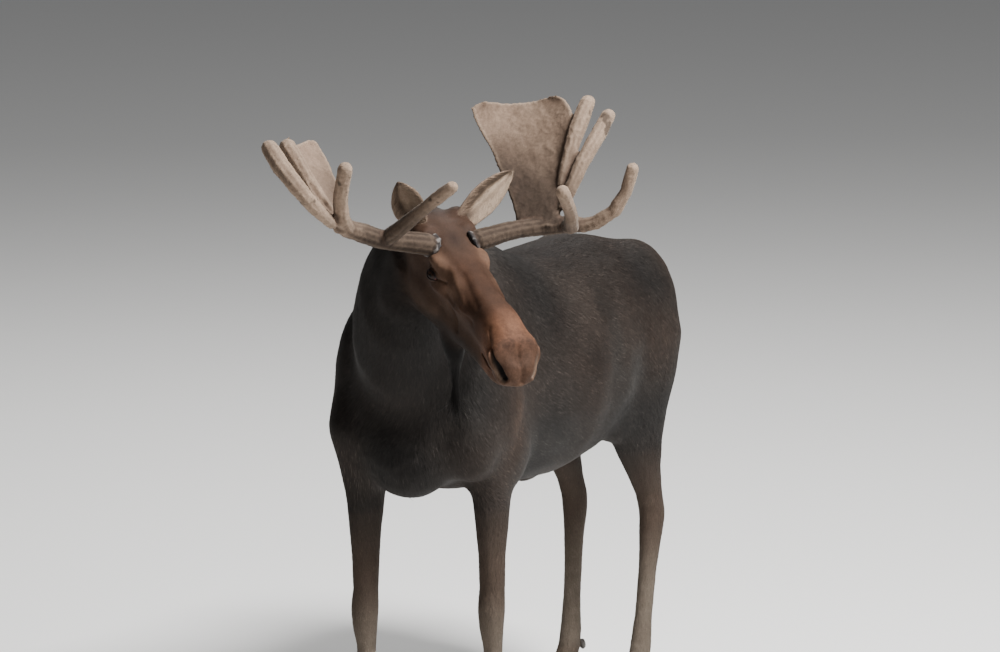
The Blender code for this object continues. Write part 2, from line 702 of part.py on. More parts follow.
def foot_place(leg):
    """Where the middle of a leg's last ring stands, on the floor."""
    stations, side, across, along, swing, spread = LEGS[leg]
    height, shift = stations[-1][:2]
    lower = 1.0 - height / LEG_SPREAD_FROM
    return Vector((side * (across + spread * lower), along + shift + swing * lower, 0.0))


def claw(name, leg, side, collection, finish):
    """Half of a cloven hoof: a pointed toe with a flat sole and a flat top."""
    middle = foot_place(leg)
    rings = []
    for height, front, back, half_width, lean in CLAW:
        ring = []
        for i in range(CLAW_RING):
            angle = 2 * math.pi * i / CLAW_RING
            c, s = math.cos(angle), math.sin(angle)
            reach = front if s < 0 else back
            taper = 1.0 - 0.55 * max(0.0, -s) ** 2.2
            across = half_width * (1.0 + c * taper) + CLAW_APART + lean * max(0.0, -s)
            ring.append(middle + Vector((side * across, reach * s, height)))
        rings.append(ring)
    bm = bmesh.new()
    loft(bm, rings)
    return object_from(bm, name, collection, finish)


def dewclaw(name, leg, side, collection, finish):
    """A small blunt claw behind the fetlock."""
    stations, leg_side, across, along, swing, spread = LEGS[leg]
    height = DEWCLAW_HEIGHT
    lower = 1.0 - height / LEG_SPREAD_FROM
    centre = Vector((leg_side * (across + spread * lower) + side * DEWCLAW_APART,
                     along + swing * lower + DEWCLAW_BACK[leg[:7]], height))
    bm = bmesh.new()
    ball(bm, centre, DEWCLAW_SIZE, turned(x=DEWCLAW_TILT), segments=DEWCLAW_SEGMENTS)
    return object_from(bm, name, collection, finish)


def tail(name, collection, finish):
    bm = bmesh.new()
    tube_along(bm, TAIL, points=TUBE_RING["tail"], side=Vector((1, 0, 0)))
    return object_from(bm, name, collection, finish)


# ---- the moose ---------------------------------------------------------------------------
def build():
    clear_scene()
    moose = new_collection("moose")
    guides = new_collection("cutters")
    coat = material("coat", (0.045, 0.032, 0.026), 0.75)
    velvet = material("velvet", (0.22, 0.18, 0.14), 0.85)
    wet_eye = material("eye", (0.012, 0.008, 0.006), 0.08)
    horn = material("hoof_horn", (0.05, 0.045, 0.04), 0.5)
    ear_coat = material("ear_coat", (0.10, 0.075, 0.055), 0.8)

    # Flesh, parted from the head back to the trunk.
    rest = flesh(moose, guides)
    head, rest = part_off(rest, *HEAD_BOX, head_frame(), "head", moose, guides, coat)
    bell, rest = part_off(rest, *BELL_BOX, level_frame(HEAD_ORIGIN), "bell", moose, guides, coat)
    neck_frame = Matrix.Translation(Vector(NECK_CUT[0])) @ turned(x=NECK_CUT[1])
    neck, rest = part_off(rest, *NECK_BOX, neck_frame, "neck", moose, guides, coat)
    limbs = []
    for leg, (stations, side, across, along, swing, spread) in LEGS.items():
        kind = leg[:7]
        outwards, ahead, behind = LEG_BOX
        low_x, high_x = (0.0, outwards) if side > 0 else (-outwards, 0.0)
        low_y, high_y = along + ahead, along + behind
        upper_box = ((low_x, low_y, CANNON_CUT[kind]), (high_x, high_y, BODY_CUT[kind]))
        upper, rest = part_off(rest, *upper_box, Matrix.Identity(4), leg + "_upper", moose,
                               guides, coat)
        lower_box = ((low_x, low_y, CORONET_HEIGHT), (high_x, high_y, CANNON_CUT[kind]))
        lower, rest = part_off(rest, *lower_box, Matrix.Identity(4), leg + "_lower", moose,
                               guides, coat)
        limbs.append((leg, lower))
    trunk_keep = box(*TRUNK_BOX, Matrix.Identity(4), "trunk_keep", guides)
    trunk = boolean(rest, trunk_keep, "INTERSECT", "trunk", moose, coat)
    bpy.data.objects.remove(rest, do_unlink=True)
    main_island(trunk)
    stub = tail("tail", moose, coat)
    set_against(stub, trunk, guides)

    for side_name, side in (("left", 1), ("right", -1)):
        eye = eyeball("eye_" + side_name, side, moose, wet_eye)
        hole = socket_for(eye, guides)
        socketed = boolean(head, hole, "DIFFERENCE", "head_socketed", moose, coat)
        bpy.data.objects.remove(head, do_unlink=True)
        bpy.data.objects.remove(hole, do_unlink=True)
        head = main_island(socketed)
    head.name = "head"

    for side_name, side in (("left", 1), ("right", -1)):
        leaf = ear("ear_" + side_name, side_name, side, moose, ear_coat)
        leaf = set_against(leaf, head, guides)
        antler = "antler_" + side_name + "_"
        beam = antler_tube(antler + "beam", BEAM[side_name], side, moose, velvet,
                           TUBE_RING["beam"])
        beam = set_against(beam, head, guides)
        plate = palm(antler + "palm", side_name, side, moose, velvet)
        made = [beam, set_against(plate, beam, guides)]
        for kind, rows in (("outer_tine", OUTER_TINE), ("inner_tine", INNER_TINE)):
            tine = antler_tube(antler + kind, rows[side_name], side, moose, velvet,
                               TUBE_RING["tine"])
            for earlier in made[:2]:
                tine = set_against(tine, earlier, guides)
            made.append(tine)
        for number, rows in enumerate(FINGERS[side_name], start=1):
            digit = finger(antler + "finger_" + str(number), rows, side_name, side, moose, velvet)
            for earlier in list(made):
                digit = set_against(digit, earlier, guides)
            made.append(digit)

    for leg, lower in limbs:
        for claw_name, side in (("a", 1), ("b", -1)):
            claw(leg + "_claw_" + claw_name, leg, side, moose, horn)
            dew = dewclaw(leg + "_dewclaw_" + claw_name, leg, side, moose, horn)
            set_against(dew, lower, guides)

    centre_on_floor(moose)


def centre_on_floor(collection):
    """Moves the moose so that the middle of its box is over the origin, soles at z = 0."""
    corners = [obj.matrix_world @ vertex.co for obj in collection.objects
               for vertex in obj.data.vertices]
    low = Vector(min(corner[axis] for corner in corners) for axis in range(3))
    high = Vector(max(corner[axis] for corner in corners) for axis in range(3))
    shift = Vector((-(low.x + high.x) / 2, -(low.y + high.y) / 2, -low.z))
    for obj in collection.objects:
        obj.data.transform(Matrix.Translation(shift))


build()
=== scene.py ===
import math
import time

import bmesh
import bpy
import numpy as np
from mathutils import Matrix, Vector
from mathutils.bvhtree import BVHTree


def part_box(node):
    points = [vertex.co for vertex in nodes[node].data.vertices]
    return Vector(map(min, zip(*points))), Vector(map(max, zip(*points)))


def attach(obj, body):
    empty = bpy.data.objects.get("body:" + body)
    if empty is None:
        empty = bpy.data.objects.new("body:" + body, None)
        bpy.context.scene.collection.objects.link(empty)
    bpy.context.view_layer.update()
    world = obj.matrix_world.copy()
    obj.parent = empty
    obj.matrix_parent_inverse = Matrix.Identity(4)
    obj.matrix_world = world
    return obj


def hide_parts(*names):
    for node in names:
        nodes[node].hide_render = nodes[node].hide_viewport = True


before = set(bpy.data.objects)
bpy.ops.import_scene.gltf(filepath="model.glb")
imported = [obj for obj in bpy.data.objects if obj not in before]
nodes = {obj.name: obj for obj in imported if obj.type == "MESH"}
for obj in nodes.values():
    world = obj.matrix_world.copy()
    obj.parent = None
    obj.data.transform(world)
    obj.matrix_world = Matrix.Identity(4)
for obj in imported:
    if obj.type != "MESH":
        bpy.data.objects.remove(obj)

startTime = time.time()
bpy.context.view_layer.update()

sides = {"left": 1.0, "right": -1.0}
legNames = [f"{leg}leg_{side}" for leg in ("fore", "hind") for side in sides]


def report(stage):
    print(f"{time.time() - startTime:6.1f} s  {stage}")


def middle(name):
    low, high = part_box(name)
    return (low + high) / 2


# camera

view = {
    "azimuth": 30.0,        # degrees round from the front, towards the moose's left
    "elevation": 10.0,
    "distance": 20.0,
    "lens": 216.0,          # mm
    "sensor": 36.0,         # mm
    "reach": 200.0,
    "aim": (0.1324, -0.1746, -1.0386),  # from the middle of the eyes: right, up, towards the camera
}


def bearing(turn, height):
    # the direction outwards at these two angles, in radians
    return Vector((math.sin(turn) * math.cos(height),
                   -math.cos(turn) * math.cos(height),
                   math.sin(height)))


def addCamera(s):
    azimuth = math.radians(s["azimuth"])
    elevation = math.radians(s["elevation"])
    back = bearing(azimuth, elevation)
    right = Vector((math.cos(azimuth), math.sin(azimuth), 0.0))
    up = back.cross(right)
    eyes = (middle("eye_left") + middle("eye_right")) / 2
    aim = eyes + right * s["aim"][0] + up * s["aim"][1] + back * s["aim"][2]
    data = bpy.data.cameras.new("camera")
    data.lens = s["lens"]
    data.sensor_width = s["sensor"]
    data.clip_end = s["reach"]
    camera = bpy.data.objects.new("camera", data)
    bpy.context.scene.collection.objects.link(camera)
    camera.location = aim + back * s["distance"]
    camera.rotation_euler = (math.radians(90) - elevation, 0.0, azimuth)
    bpy.context.scene.camera = camera
    return camera


addCamera(view)

# materials


def nodeMaterial(name, **sockets):
    material = bpy.data.materials.new(name)
    material.use_nodes = True
    tree = material.node_tree
    shader = tree.nodes["Principled BSDF"]
    for key, value in sockets.items():
        shader.inputs[key.replace("_", " ")].default_value = value
    return material, tree, shader


def addNode(tree, kind, links=None, **values):
    node = tree.nodes.new(kind)
    for key, value in values.items():
        if hasattr(node, key):
            setattr(node, key, value)
        else:
            node.inputs[key.replace("_", " ")].default_value = value
    for socket, source in (links or {}).items():
        tree.links.new(source, node.inputs[socket])
    return node


def mixColour(tree, first, second, factor, blend="MIX"):
    node = tree.nodes.new("ShaderNodeMix")
    node.data_type = "RGBA"
    node.blend_type = blend
    for socket, value in ((0, factor), (6, first), (7, second)):
        if hasattr(value, "links"):
            tree.links.new(value, node.inputs[socket])
        else:
            node.inputs[socket].default_value = value
    return node.outputs[2]


def ramp(tree, source, low, high):
    node = addNode(tree, "ShaderNodeMapRange", {"Value": source}, From_Min=low, From_Max=high)
    return node.outputs[0]


def addNoise(tree, place, scale, detail):
    noise = addNode(tree, "ShaderNodeTexNoise", {"Vector": place}, Scale=scale, Detail=detail)
    return noise.outputs["Fac"]


def addRelief(tree, shader, height, strength, distance):
    relief = addNode(tree, "ShaderNodeBump", {"Height": height}, Strength=strength, Distance=distance)
    tree.links.new(relief.outputs["Normal"], shader.inputs["Normal"])


# light and floor

light = {
    "world": (0.95, 0.97, 1.00, 0.15),       # colour, then strength
    "key": (2000.0, 2.2, 47.0, 50.0),        # power, size, degrees round from the camera, height
    "fill": (25.0, 6.0, -60.0, 25.0),
    "back": (380.0, 4.0, 185.0, 50.0),
    "reach": 8.0,
    "floor": (0.88, 0.87, 0.85),
    "floorSize": 60.0,
    "floorGrain": 0.96,     # the darkest of the grain, as a share
}


def addLights(s):
    world = bpy.data.worlds.new("studio")
    bpy.context.scene.world = world
    world.use_nodes = True
    background = world.node_tree.nodes["Background"]
    background.inputs["Color"].default_value = (*s["world"][:3], 1.0)
    background.inputs["Strength"].default_value = s["world"][3]
    aim = middle("trunk")
    for name in ("key", "fill", "back"):
        power, size, turn, height = s[name]
        data = bpy.data.lights.new(name, "AREA")
        data.energy = power
        data.size = size
        lamp = bpy.data.objects.new(name, data)
        bpy.context.scene.collection.objects.link(lamp)
        away = bearing(math.radians(view["azimuth"] + turn), math.radians(height))
        lamp.location = aim + away * s["reach"]
        lamp.rotation_mode = "QUATERNION"
        lamp.rotation_quaternion = away.to_track_quat("Z", "Y")


def addFloor(s):
    bpy.ops.mesh.primitive_plane_add(size=s["floorSize"])
    floor = bpy.context.object
    floor.name = "floor"
    material, tree, shader = nodeMaterial("pale_floor", Roughness=0.85)
    grain = addNode(tree, "ShaderNodeTexNoise", Scale=3.0, Detail=4.0)
    darker = [c * s["floorGrain"] for c in s["floor"]]
    colour = mixColour(tree, (*s["floor"], 1.0), (*darker, 1.0), grain.outputs["Fac"])
    tree.links.new(colour, shader.inputs["Base Color"])
    floor.data.materials.append(material)


addLights(light)
addFloor(light)

# mesh helpers


def newObject(name, mesh):
    made = bpy.data.objects.new(name, mesh)
    bpy.context.scene.collection.objects.link(made)
    return made


def coordinates(mesh):
    values = np.empty(len(mesh.vertices) * 3)
    mesh.vertices.foreach_get("co", values)
    return values.reshape(-1, 3)


def setCoordinates(mesh, places):
    mesh.vertices.foreach_set("co", np.ascontiguousarray(places, dtype=np.float32).ravel())
    mesh.update()


def normals(mesh):
    values = np.empty(len(mesh.vertices) * 3)
    mesh.vertex_normals.foreach_get("vector", values)
    return values.reshape(-1, 3)


def edgePairs(mesh):
    pairs = np.empty(len(mesh.edges) * 2, dtype=np.int64)
    mesh.edges.foreach_get("vertices", pairs)
    return pairs.reshape(-1, 2)


def unit(vectors):
    return vectors / np.maximum(np.linalg.norm(vectors, axis=-1, keepdims=True), 1e-9)


def smoothed(pairs, values, rounds, share=0.5):
    # each round moves a value towards the mean of its neighbours'; share may differ by vertex
    count = len(values)
    both = np.concatenate([pairs, pairs[:, ::-1]])
    degree = np.maximum(np.bincount(both[:, 0], minlength=count), 1)
    values = values.reshape(count, -1).copy()
    share = np.broadcast_to(np.asarray(share, dtype=float), (count,))[:, None]
    for _ in range(rounds):
        total = np.stack([np.bincount(both[:, 0], weights=values[both[:, 1], k], minlength=count)
                          for k in range(values.shape[1])], axis=1)
        values += share * (total / degree[:, None] - values)
    return values


def faired(pairs, places, rounds, share):
    # smoothing that keeps the volume: each step in is followed by a slightly larger step out
    for _ in range(rounds):
        places = smoothed(pairs, places, 1, share * 0.5)
        places = smoothed(pairs, places, 1, share * -0.52)
    return places


def joinedCopy(name, parts, swell):
    # one mesh of several CAD nodes, each swollen a little so that neighbours run into each other
    joined = bmesh.new()
    for part in parts:
        single = bmesh.new()
        single.from_mesh(nodes[part].data)
        bmesh.ops.remove_doubles(single, verts=single.verts, dist=1e-5)
        single.normal_update()
        offsets = [v.normal * swell for v in single.verts]
        for vertex, offset in zip(single.verts, offsets):
            vertex.co += offset
        mesh = bpy.data.meshes.new("part")
        single.to_mesh(mesh)
        single.free()
        joined.from_mesh(mesh)
        bpy.data.meshes.remove(mesh)
    mesh = bpy.data.meshes.new(name)
    joined.to_mesh(mesh)
    joined.free()
    return mesh


def remeshed(name, mesh, voxel):
    helper = newObject("helper", mesh)
    change = helper.modifiers.new("remesh", "REMESH")
    change.mode = "VOXEL"
    change.voxel_size = voxel
    bpy.context.view_layer.update()
    evaluated = helper.evaluated_get(bpy.context.evaluated_depsgraph_get())
    made = bpy.data.meshes.new_from_object(evaluated)
    made.name = name
    bpy.data.objects.remove(helper)
    bpy.data.meshes.remove(mesh)
    return made


def subdivided(mesh, chosen):
    # cuts the faces whose corners are all chosen into four
    work = bmesh.new()
    work.from_mesh(mesh)
    work.verts.ensure_lookup_table()
    edges = [e for e in work.edges if chosen[e.verts[0].index] and chosen[e.verts[1].index]]
    bmesh.ops.subdivide_edges(work, edges=edges, cuts=1, use_grid_fill=True)
    work.to_mesh(mesh)
    work.free()


def nearestLabels(places, names):
    # for each place, the number of the CAD node in names that lies nearest
    corners, faces, owner = [], [], []
    start = 0
    for number, name in enumerate(names):
        mesh = nodes[name].data
        corners += [v.co.copy() for v in mesh.vertices]
        faces += [[start + i for i in p.vertices] for p in mesh.polygons]
        owner += [number] * len(mesh.polygons)
        start += len(mesh.vertices)
    tree = BVHTree.FromPolygons(corners, faces)
    found = [tree.find_nearest(Vector(p))[2] for p in places]
    return np.array(owner)[np.array(found)]


def fillMesh(mesh, places, faces):
    mesh.vertices.add(len(places))
    mesh.vertices.foreach_set("co", places.astype(np.float32).ravel())
    mesh.loops.add(faces.size)
    mesh.loops.foreach_set("vertex_index", faces.astype(np.int32).ravel())
    mesh.polygons.add(len(faces))
    starts = np.arange(0, faces.size, faces.shape[1], dtype=np.int32)
    mesh.polygons.foreach_set("loop_start", starts)
    mesh.update(calc_edges=True)


def setColour(mesh, colours, name="colourAndPaintedLight"):
    layer = mesh.color_attributes.new(name, "FLOAT_COLOR", "POINT")
    rgba = np.ones((len(colours), 4), dtype=np.float32)
    rgba[:, :3] = colours
    layer.data.foreach_set("color", rgba.ravel())


# smooth noise for shapes


noisePrimes = (73856093, 19349663, 83492791, 2654435761)


def valueNoise(places, size, seed):
    # smooth noise from -1 to 1 that repeats nowhere on the animal; size is the width of a bump
    scaled = places / size + seed * 17.31
    cell = np.floor(scaled).astype(np.int64)
    along = scaled - cell
    ease = along * along * (3 - 2 * along)
    total = np.zeros(len(places))
    for dx in (0, 1):
        for dy in (0, 1):
            for dz in (0, 1):
                key = ((cell[:, 0] + dx) * noisePrimes[0]
                       ^ (cell[:, 1] + dy) * noisePrimes[1]
                       ^ (cell[:, 2] + dz) * noisePrimes[2]
                       ^ (seed * noisePrimes[3]))
                key = (key ^ (key >> 13)) * 1274126177
                key = (key ^ (key >> 16)) & 0xFFFF
                weight = (np.where(dx, ease[:, 0], 1 - ease[:, 0])
                          * np.where(dy, ease[:, 1], 1 - ease[:, 1])
                          * np.where(dz, ease[:, 2], 1 - ease[:, 2]))
                total += weight * (key / 32767.5 - 1)
    return total


def step(values, low, high):
    # 0 below low, 1 above high, eased between
    t = np.clip((values - low) / (high - low), 0.0, 1.0)
    return t * t * (3 - 2 * t)


def around(local, place, radii, size=1.0):
    # 1 at the place, falling off over the radii; size turns shares of a box into metres
    return np.exp(-(((local - place) * size / radii) ** 2).sum(axis=1))


# head frame

headPose = {
    "turn": 57.0,           # degrees: to the moose's left, nose down, and tilt
    "pitch": 22.0,
    "roll": 3.0,
    "size": 1.10,
    "eyes": (0.206, 0.004),     # the eyes in the head's own frame: forward and up
}


def turned(x=0.0, y=0.0, z=0.0):
    turn = Matrix.Rotation(math.radians(z), 4, "Z") @ Matrix.Rotation(math.radians(y), 4, "Y")
    return turn @ Matrix.Rotation(math.radians(x), 4, "X")


def headFrame(s):
    turn = turned(z=s["turn"]) @ turned(y=-s["roll"]) @ turned(x=s["pitch"])
    turn = turn @ Matrix.Scale(s["size"], 4)
    between = (middle("eye_left") + middle("eye_right")) / 2
    origin = between - turn.to_3x3() @ Vector((0.0, -s["eyes"][0], s["eyes"][1]))
    return Matrix.Translation(origin) @ turn


headMatrix = np.array(headFrame(headPose))
headInverse = np.linalg.inv(headMatrix)


def toHead(places):
    # side (left positive), forward, up
    local = places @ headInverse[:3, :3].T + headInverse[:3, 3]
    return local * (1, -1, 1)


def fromHead(local):
    return (local * (1, -1, 1)) @ headMatrix[:3, :3].T + headMatrix[:3, 3]


def headDirection(local):
    return unit((np.asarray(local, dtype=float) * (1, -1, 1)) @ headMatrix[:3, :3].T)


# skin

skinShape = {
    "swell": 0.0012,        # CAD nodes are swollen by this so that they join
    "voxel": 0.0128,
    "blend": 12,            # rounds that soften the borders between regions
    "feet": (0.06, 0.11),   # heights between which the skin sinks to its full depth
    "depth": {"trunk": 0.0045, "neck": 0.0050, "head": 0.0020, "leg": 0.0025,
              "bell": 0.0060, "tail": 0.0050},
    "fairing": {"trunk": 1.0, "neck": 0.9, "head": 0.45, "leg": 0.40, "bell": 0.5, "tail": 0.5},
    "fairingRounds": 24,
    "filling": {"trunk": 0.9, "neck": 0.8, "head": 0.15, "leg": 0.35, "bell": 0.2, "tail": 0.5},
    "fillingRounds": 7,
}

fleshNodes = ["trunk", "neck", "head", "bell", "tail"]
fleshNodes += [f"{leg}_{part}" for leg in legNames for part in ("upper", "lower")]
eyeNodes = [f"eye_{side}" for side in sides]
regionOf = {"trunk": 0, "neck": 1, "head": 2, "leg": 3, "bell": 4, "tail": 5}


def regionIndex(name):
    return regionOf["leg"] if "leg_" in name else regionOf[name]


def regionWeights(mesh, rounds):
    # how much each vertex belongs to each region, blended over the borders
    places = coordinates(mesh)
    labels = nearestLabels(places, fleshNodes)
    regions = np.array([regionIndex(name) for name in fleshNodes])[labels]
    weights = np.eye(len(regionOf))[regions]
    return smoothed(edgePairs(mesh), weights, rounds)


def byRegion(weights, table):
    values = np.zeros(len(regionOf))
    for name, value in table.items():
        values[regionOf[name]] = value
    return weights @ values


def makeSkin(s):
    # the eyes are in it too, so that no socket is left open in the skin
    mesh = remeshed("skin", joinedCopy("skin", fleshNodes + eyeNodes, s["swell"]), s["voxel"])
    weights = regionWeights(mesh, s["blend"])
    pairs = edgePairs(mesh)
    body = byRegion(weights, s["filling"])
    for _ in range(s["fillingRounds"]):
        # sharp hollows where two masses meet are filled with flesh
        places = coordinates(mesh)
        hollow = ((smoothed(pairs, places, 8) - places) * normals(mesh)).sum(axis=1)
        rise = smoothed(pairs, np.maximum(hollow, 0.0) * body, 2)
        setCoordinates(mesh, places + normals(mesh) * rise)
    places = faired(pairs, coordinates(mesh), s["fairingRounds"], byRegion(weights, s["fairing"]))
    setCoordinates(mesh, places)
    depth = byRegion(weights, s["depth"]) + s["swell"]
    feet = step(places[:, 2], *s["feet"])
    setCoordinates(mesh, places - normals(mesh) * (depth * feet)[:, None])
    return mesh


def refined(mesh, chosen):
    # four faces for one where chosen, then eased so that the new corners lie on the curve
    before = len(mesh.vertices)
    subdivided(mesh, chosen)
    new = np.arange(len(mesh.vertices)) >= before
    pairs = edgePairs(mesh)
    near = smoothed(pairs, new.astype(float), 2).ravel() > 0.05
    setCoordinates(mesh, faired(pairs, coordinates(mesh), 5, near * 0.9))


def facesNear(mesh, chooses):
    # refines again and again where each choice says so
    for choose in chooses:
        places = coordinates(mesh)
        refined(mesh, choose(places, mirrored(toHead(places))))
        report(f"refined to {len(mesh.polygons)} faces")


def mirrored(local):
    # both halves of the head share the tables of the left one
    return local * np.where(local[:, :1] < 0, (-1, 1, 1), (1, 1, 1))


skinMesh = makeSkin(skinShape)
report(f"skin: {len(skinMesh.polygons)} faces")

# face

eyeShape = {
    "place": (0.0765, 0.206, 0.004),    # side, forward, up in the head's frame
    "looks": (0.88, 0.44, 0.14),
    "radius": 0.0215,
    "openWide": 0.0215,         # half the width of the opening between the lids
    "openTop": 0.0145,
    "openLow": 0.0105,
    "lid": 0.0024,              # thickness of the lids
    "tilt": 16.0,               # degrees that the inner corner lies lower
    "roll": (0.35, 0.0016),     # the lids' thicker edge: share more, width
    "melt": 0.0045,             # how softly the lids run into the face
    "sunk": 0.0045,             # how far the skin lies under the ball between the lids
    "split": -0.004,            # height where the upper lid's folds give way to the lower's
    # folds: distance from the opening, width, height
    "topFolds": ((0.0085, 0.0014, -0.0022), (0.0125, 0.0022, 0.0016)),
    "lowFold": (0.0090, 0.0018, -0.0016),
}

# bulges and hollows of the head: middle (side, forward, up), radii, height in metres
faceMasses = {
    "brow": ((0.072, 0.200, 0.040), (0.022, 0.040, 0.012), 0.0070),
    "innerBrow": ((0.060, 0.248, 0.046), (0.018, 0.020, 0.016), 0.0030),
    "underEye": ((0.080, 0.222, -0.030), (0.020, 0.034, 0.011), 0.0030),
    "crestSwell": ((0.064, 0.312, 0.016), (0.018, 0.046, 0.020), 0.0060),
    "crestEnd": ((0.063, 0.362, 0.000), (0.013, 0.020, 0.013), 0.0030),
    "cheek": ((0.056, 0.240, -0.110), (0.030, 0.050, 0.036), 0.0070),
    "cheekHollow": ((0.060, 0.296, -0.062), (0.022, 0.019, 0.019), -0.0100),
    "hollowAhead": ((0.060, 0.390, -0.045), (0.022, 0.050, 0.022), -0.0055),
    "temple": ((0.086, 0.158, 0.010), (0.020, 0.026, 0.022), -0.0050),
    "noseSide": ((0.060, 0.478, -0.030), (0.022, 0.040, 0.024), -0.0045),
    "noseTop": ((0.026, 0.490, 0.040), (0.042, 0.085, 0.040), 0.0030),
    "jaw": ((0.040, 0.290, -0.165), (0.040, 0.130, 0.045), 0.0020),
    "noseFront": ((0.000, 0.648, -0.020), (0.060, 0.030, 0.045), -0.0150),
    "nostrilWing": ((0.074, 0.596, -0.060), (0.016, 0.022, 0.034), 0.0070),
    "nostrilTop": ((0.056, 0.580, -0.002), (0.022, 0.026, 0.016), 0.0035),
    "nostrilBack": ((0.076, 0.560, -0.028), (0.012, 0.011, 0.012), -0.0080),
    "frontLobe": ((0.036, 0.634, -0.055), (0.016, 0.020, 0.040), 0.0050),
    "lipSide": ((0.054, 0.590, -0.108), (0.022, 0.040, 0.016), 0.0045),
    "chin": ((0.020, 0.560, -0.158), (0.030, 0.030, 0.016), 0.0040),
    "lipHollow": ((0.062, 0.520, -0.090), (0.020, 0.030, 0.022), -0.0040),
    "foreheadDip": ((0.000, 0.180, 0.090), (0.030, 0.050, 0.030), -0.0045),
    "jawCorner": ((0.055, 0.080, -0.130), (0.026, 0.045, 0.035), 0.0050),
    "jawEdge": ((0.045, 0.400, -0.150), (0.020, 0.080, 0.016), 0.0025),
}

# grooves and ridges of the head: points on the way, radius, height
faceLines = {
    "crest": (((0.054, 0.262, 0.052), (0.061, 0.320, 0.028), (0.063, 0.377, 0.002)), 0.010, 0.0040),
    "aboveCrest": (((0.038, 0.300, 0.058), (0.044, 0.360, 0.036), (0.048, 0.430, 0.020)),
                   0.012, -0.0034),
    "belowCrest": (((0.074, 0.280, -0.020), (0.070, 0.340, -0.026), (0.060, 0.420, -0.032)),
                   0.012, -0.0048),
    "tearTrough": (((0.081, 0.2266, 0.000), (0.078, 0.248, 0.006), (0.073, 0.272, 0.012)),
                   0.0045, -0.0040),
    "cheekFold": (((0.066, 0.292, -0.058), (0.058, 0.314, -0.088), (0.048, 0.326, -0.118)),
                  0.0085, -0.0050),
    "browFold": (((0.084, 0.176, 0.030), (0.084, 0.206, 0.028), (0.078, 0.232, 0.022)),
                 0.0040, -0.0022),
    "wedgeCrease": (((0.060, 0.522, 0.006), (0.068, 0.546, -0.010), (0.076, 0.566, -0.026)),
                    0.0060, -0.0050),
    "nostrilRim": (((0.080, 0.582, -0.040), (0.078, 0.600, -0.066), (0.067, 0.618, -0.094),
                    (0.048, 0.636, -0.112)), 0.0060, 0.0052),
    "noseGroove": (((0.0, 0.610, -0.010), (0.0, 0.640, -0.055), (0.0, 0.655, -0.105)), 0.0085, -0.0040),
    "lipEdge": (((0.0, 0.652, -0.116), (0.036, 0.628, -0.117), (0.054, 0.575, -0.114)), 0.0060, 0.0030),
}

cuts = {
    # points on the way, the radius at each, and how deep
    "nostril": (((0.073, 0.576, -0.022), (0.070, 0.596, -0.044), (0.062, 0.616, -0.070),
                 (0.050, 0.633, -0.096)), (0.0042, 0.0060, 0.0095, 0.0110), 0.0210),
    "mouth": (((0.0, 0.640, -0.126), (0.034, 0.618, -0.128), (0.053, 0.570, -0.124),
               (0.055, 0.520, -0.116), (0.050, 0.478, -0.106)),
              (0.0050, 0.0050, 0.0045, 0.0036, 0.0030), 0.0090),
}


def lineDistance(local, points, radii=None):
    # distance to a line of several stretches, and the line's radius at the nearest place
    points = np.array(points, dtype=float)
    radii = np.ones(len(points)) if radii is None else np.array(radii)
    best = np.full(len(local), 1e9)
    radius = np.ones(len(local))
    for i in range(len(points) - 1):
        start, along = points[i], points[i + 1] - points[i]
        t = np.clip((local - start) @ along / (along @ along), 0.0, 1.0)
        distance = np.linalg.norm(local - start - t[:, None] * along, axis=1)
        closer = distance < best
        best = np.where(closer, distance, best)
        radius = np.where(closer, radii[i] + t * (radii[i + 1] - radii[i]), radius)
    return best, radius


def settle(mesh):
    # lays every place of the tables above onto the skin of the left half of the head
    tree = BVHTree.FromPolygons([v.co for v in mesh.vertices], [p.vertices for p in mesh.polygons])

    def laid(point):
        found = tree.find_nearest(Vector(fromHead(np.array(point, dtype=float))))[0]
        local = toHead(np.array(found))
        return (0.0 if point[0] == 0 else local[0], local[1], local[2])

    for name, (place, radii, rise) in faceMasses.items():
        faceMasses[name] = (laid(place), radii, rise)
    for name, (points, radius, rise) in faceLines.items():
        faceLines[name] = ([laid(p) for p in points], radius, rise)
    for name, (points, radii, deep) in cuts.items():
        cuts[name] = ([laid(p) for p in points], radii, deep)


def eyeAxes(sideName):
    # outwards, along the opening (forwards) and up, at one eye
    side = sides[sideName]
    s = eyeShape
    centre = fromHead(np.array((s["place"][0] * side, *s["place"][1:])))
    outward = headDirection((s["looks"][0] * side, *s["looks"][1:]))
    tilt = math.radians(s["tilt"])
    forward = headDirection((0.0, math.cos(tilt), -math.sin(tilt)))
    forward = unit(forward - outward * (forward @ outward))
    up = np.cross(outward, forward)
    return centre, outward, forward, up if up[2] > 0 else -up


def eyePlaces(places, sideName):
    # for each place: depth, forward and up at the eye, and distance outside the lids' opening
    s = eyeShape
    centre, outward, forward, up = eyeAxes(sideName)
    offset = places - centre
    deep, x, y = offset @ outward, offset @ forward, offset @ up
    along = np.abs(x) / s["openWide"]
    half = np.where(y > 0, s["openTop"], s["openLow"]) * np.maximum(1 - along ** 2, 0.0) ** 0.7
    ring = np.where(along < 1, np.abs(y) - half, np.hypot((along - 1) * s["openWide"], y))
    ring = np.where(deep < -0.005, 0.1, ring)
    return deep, x, y, ring


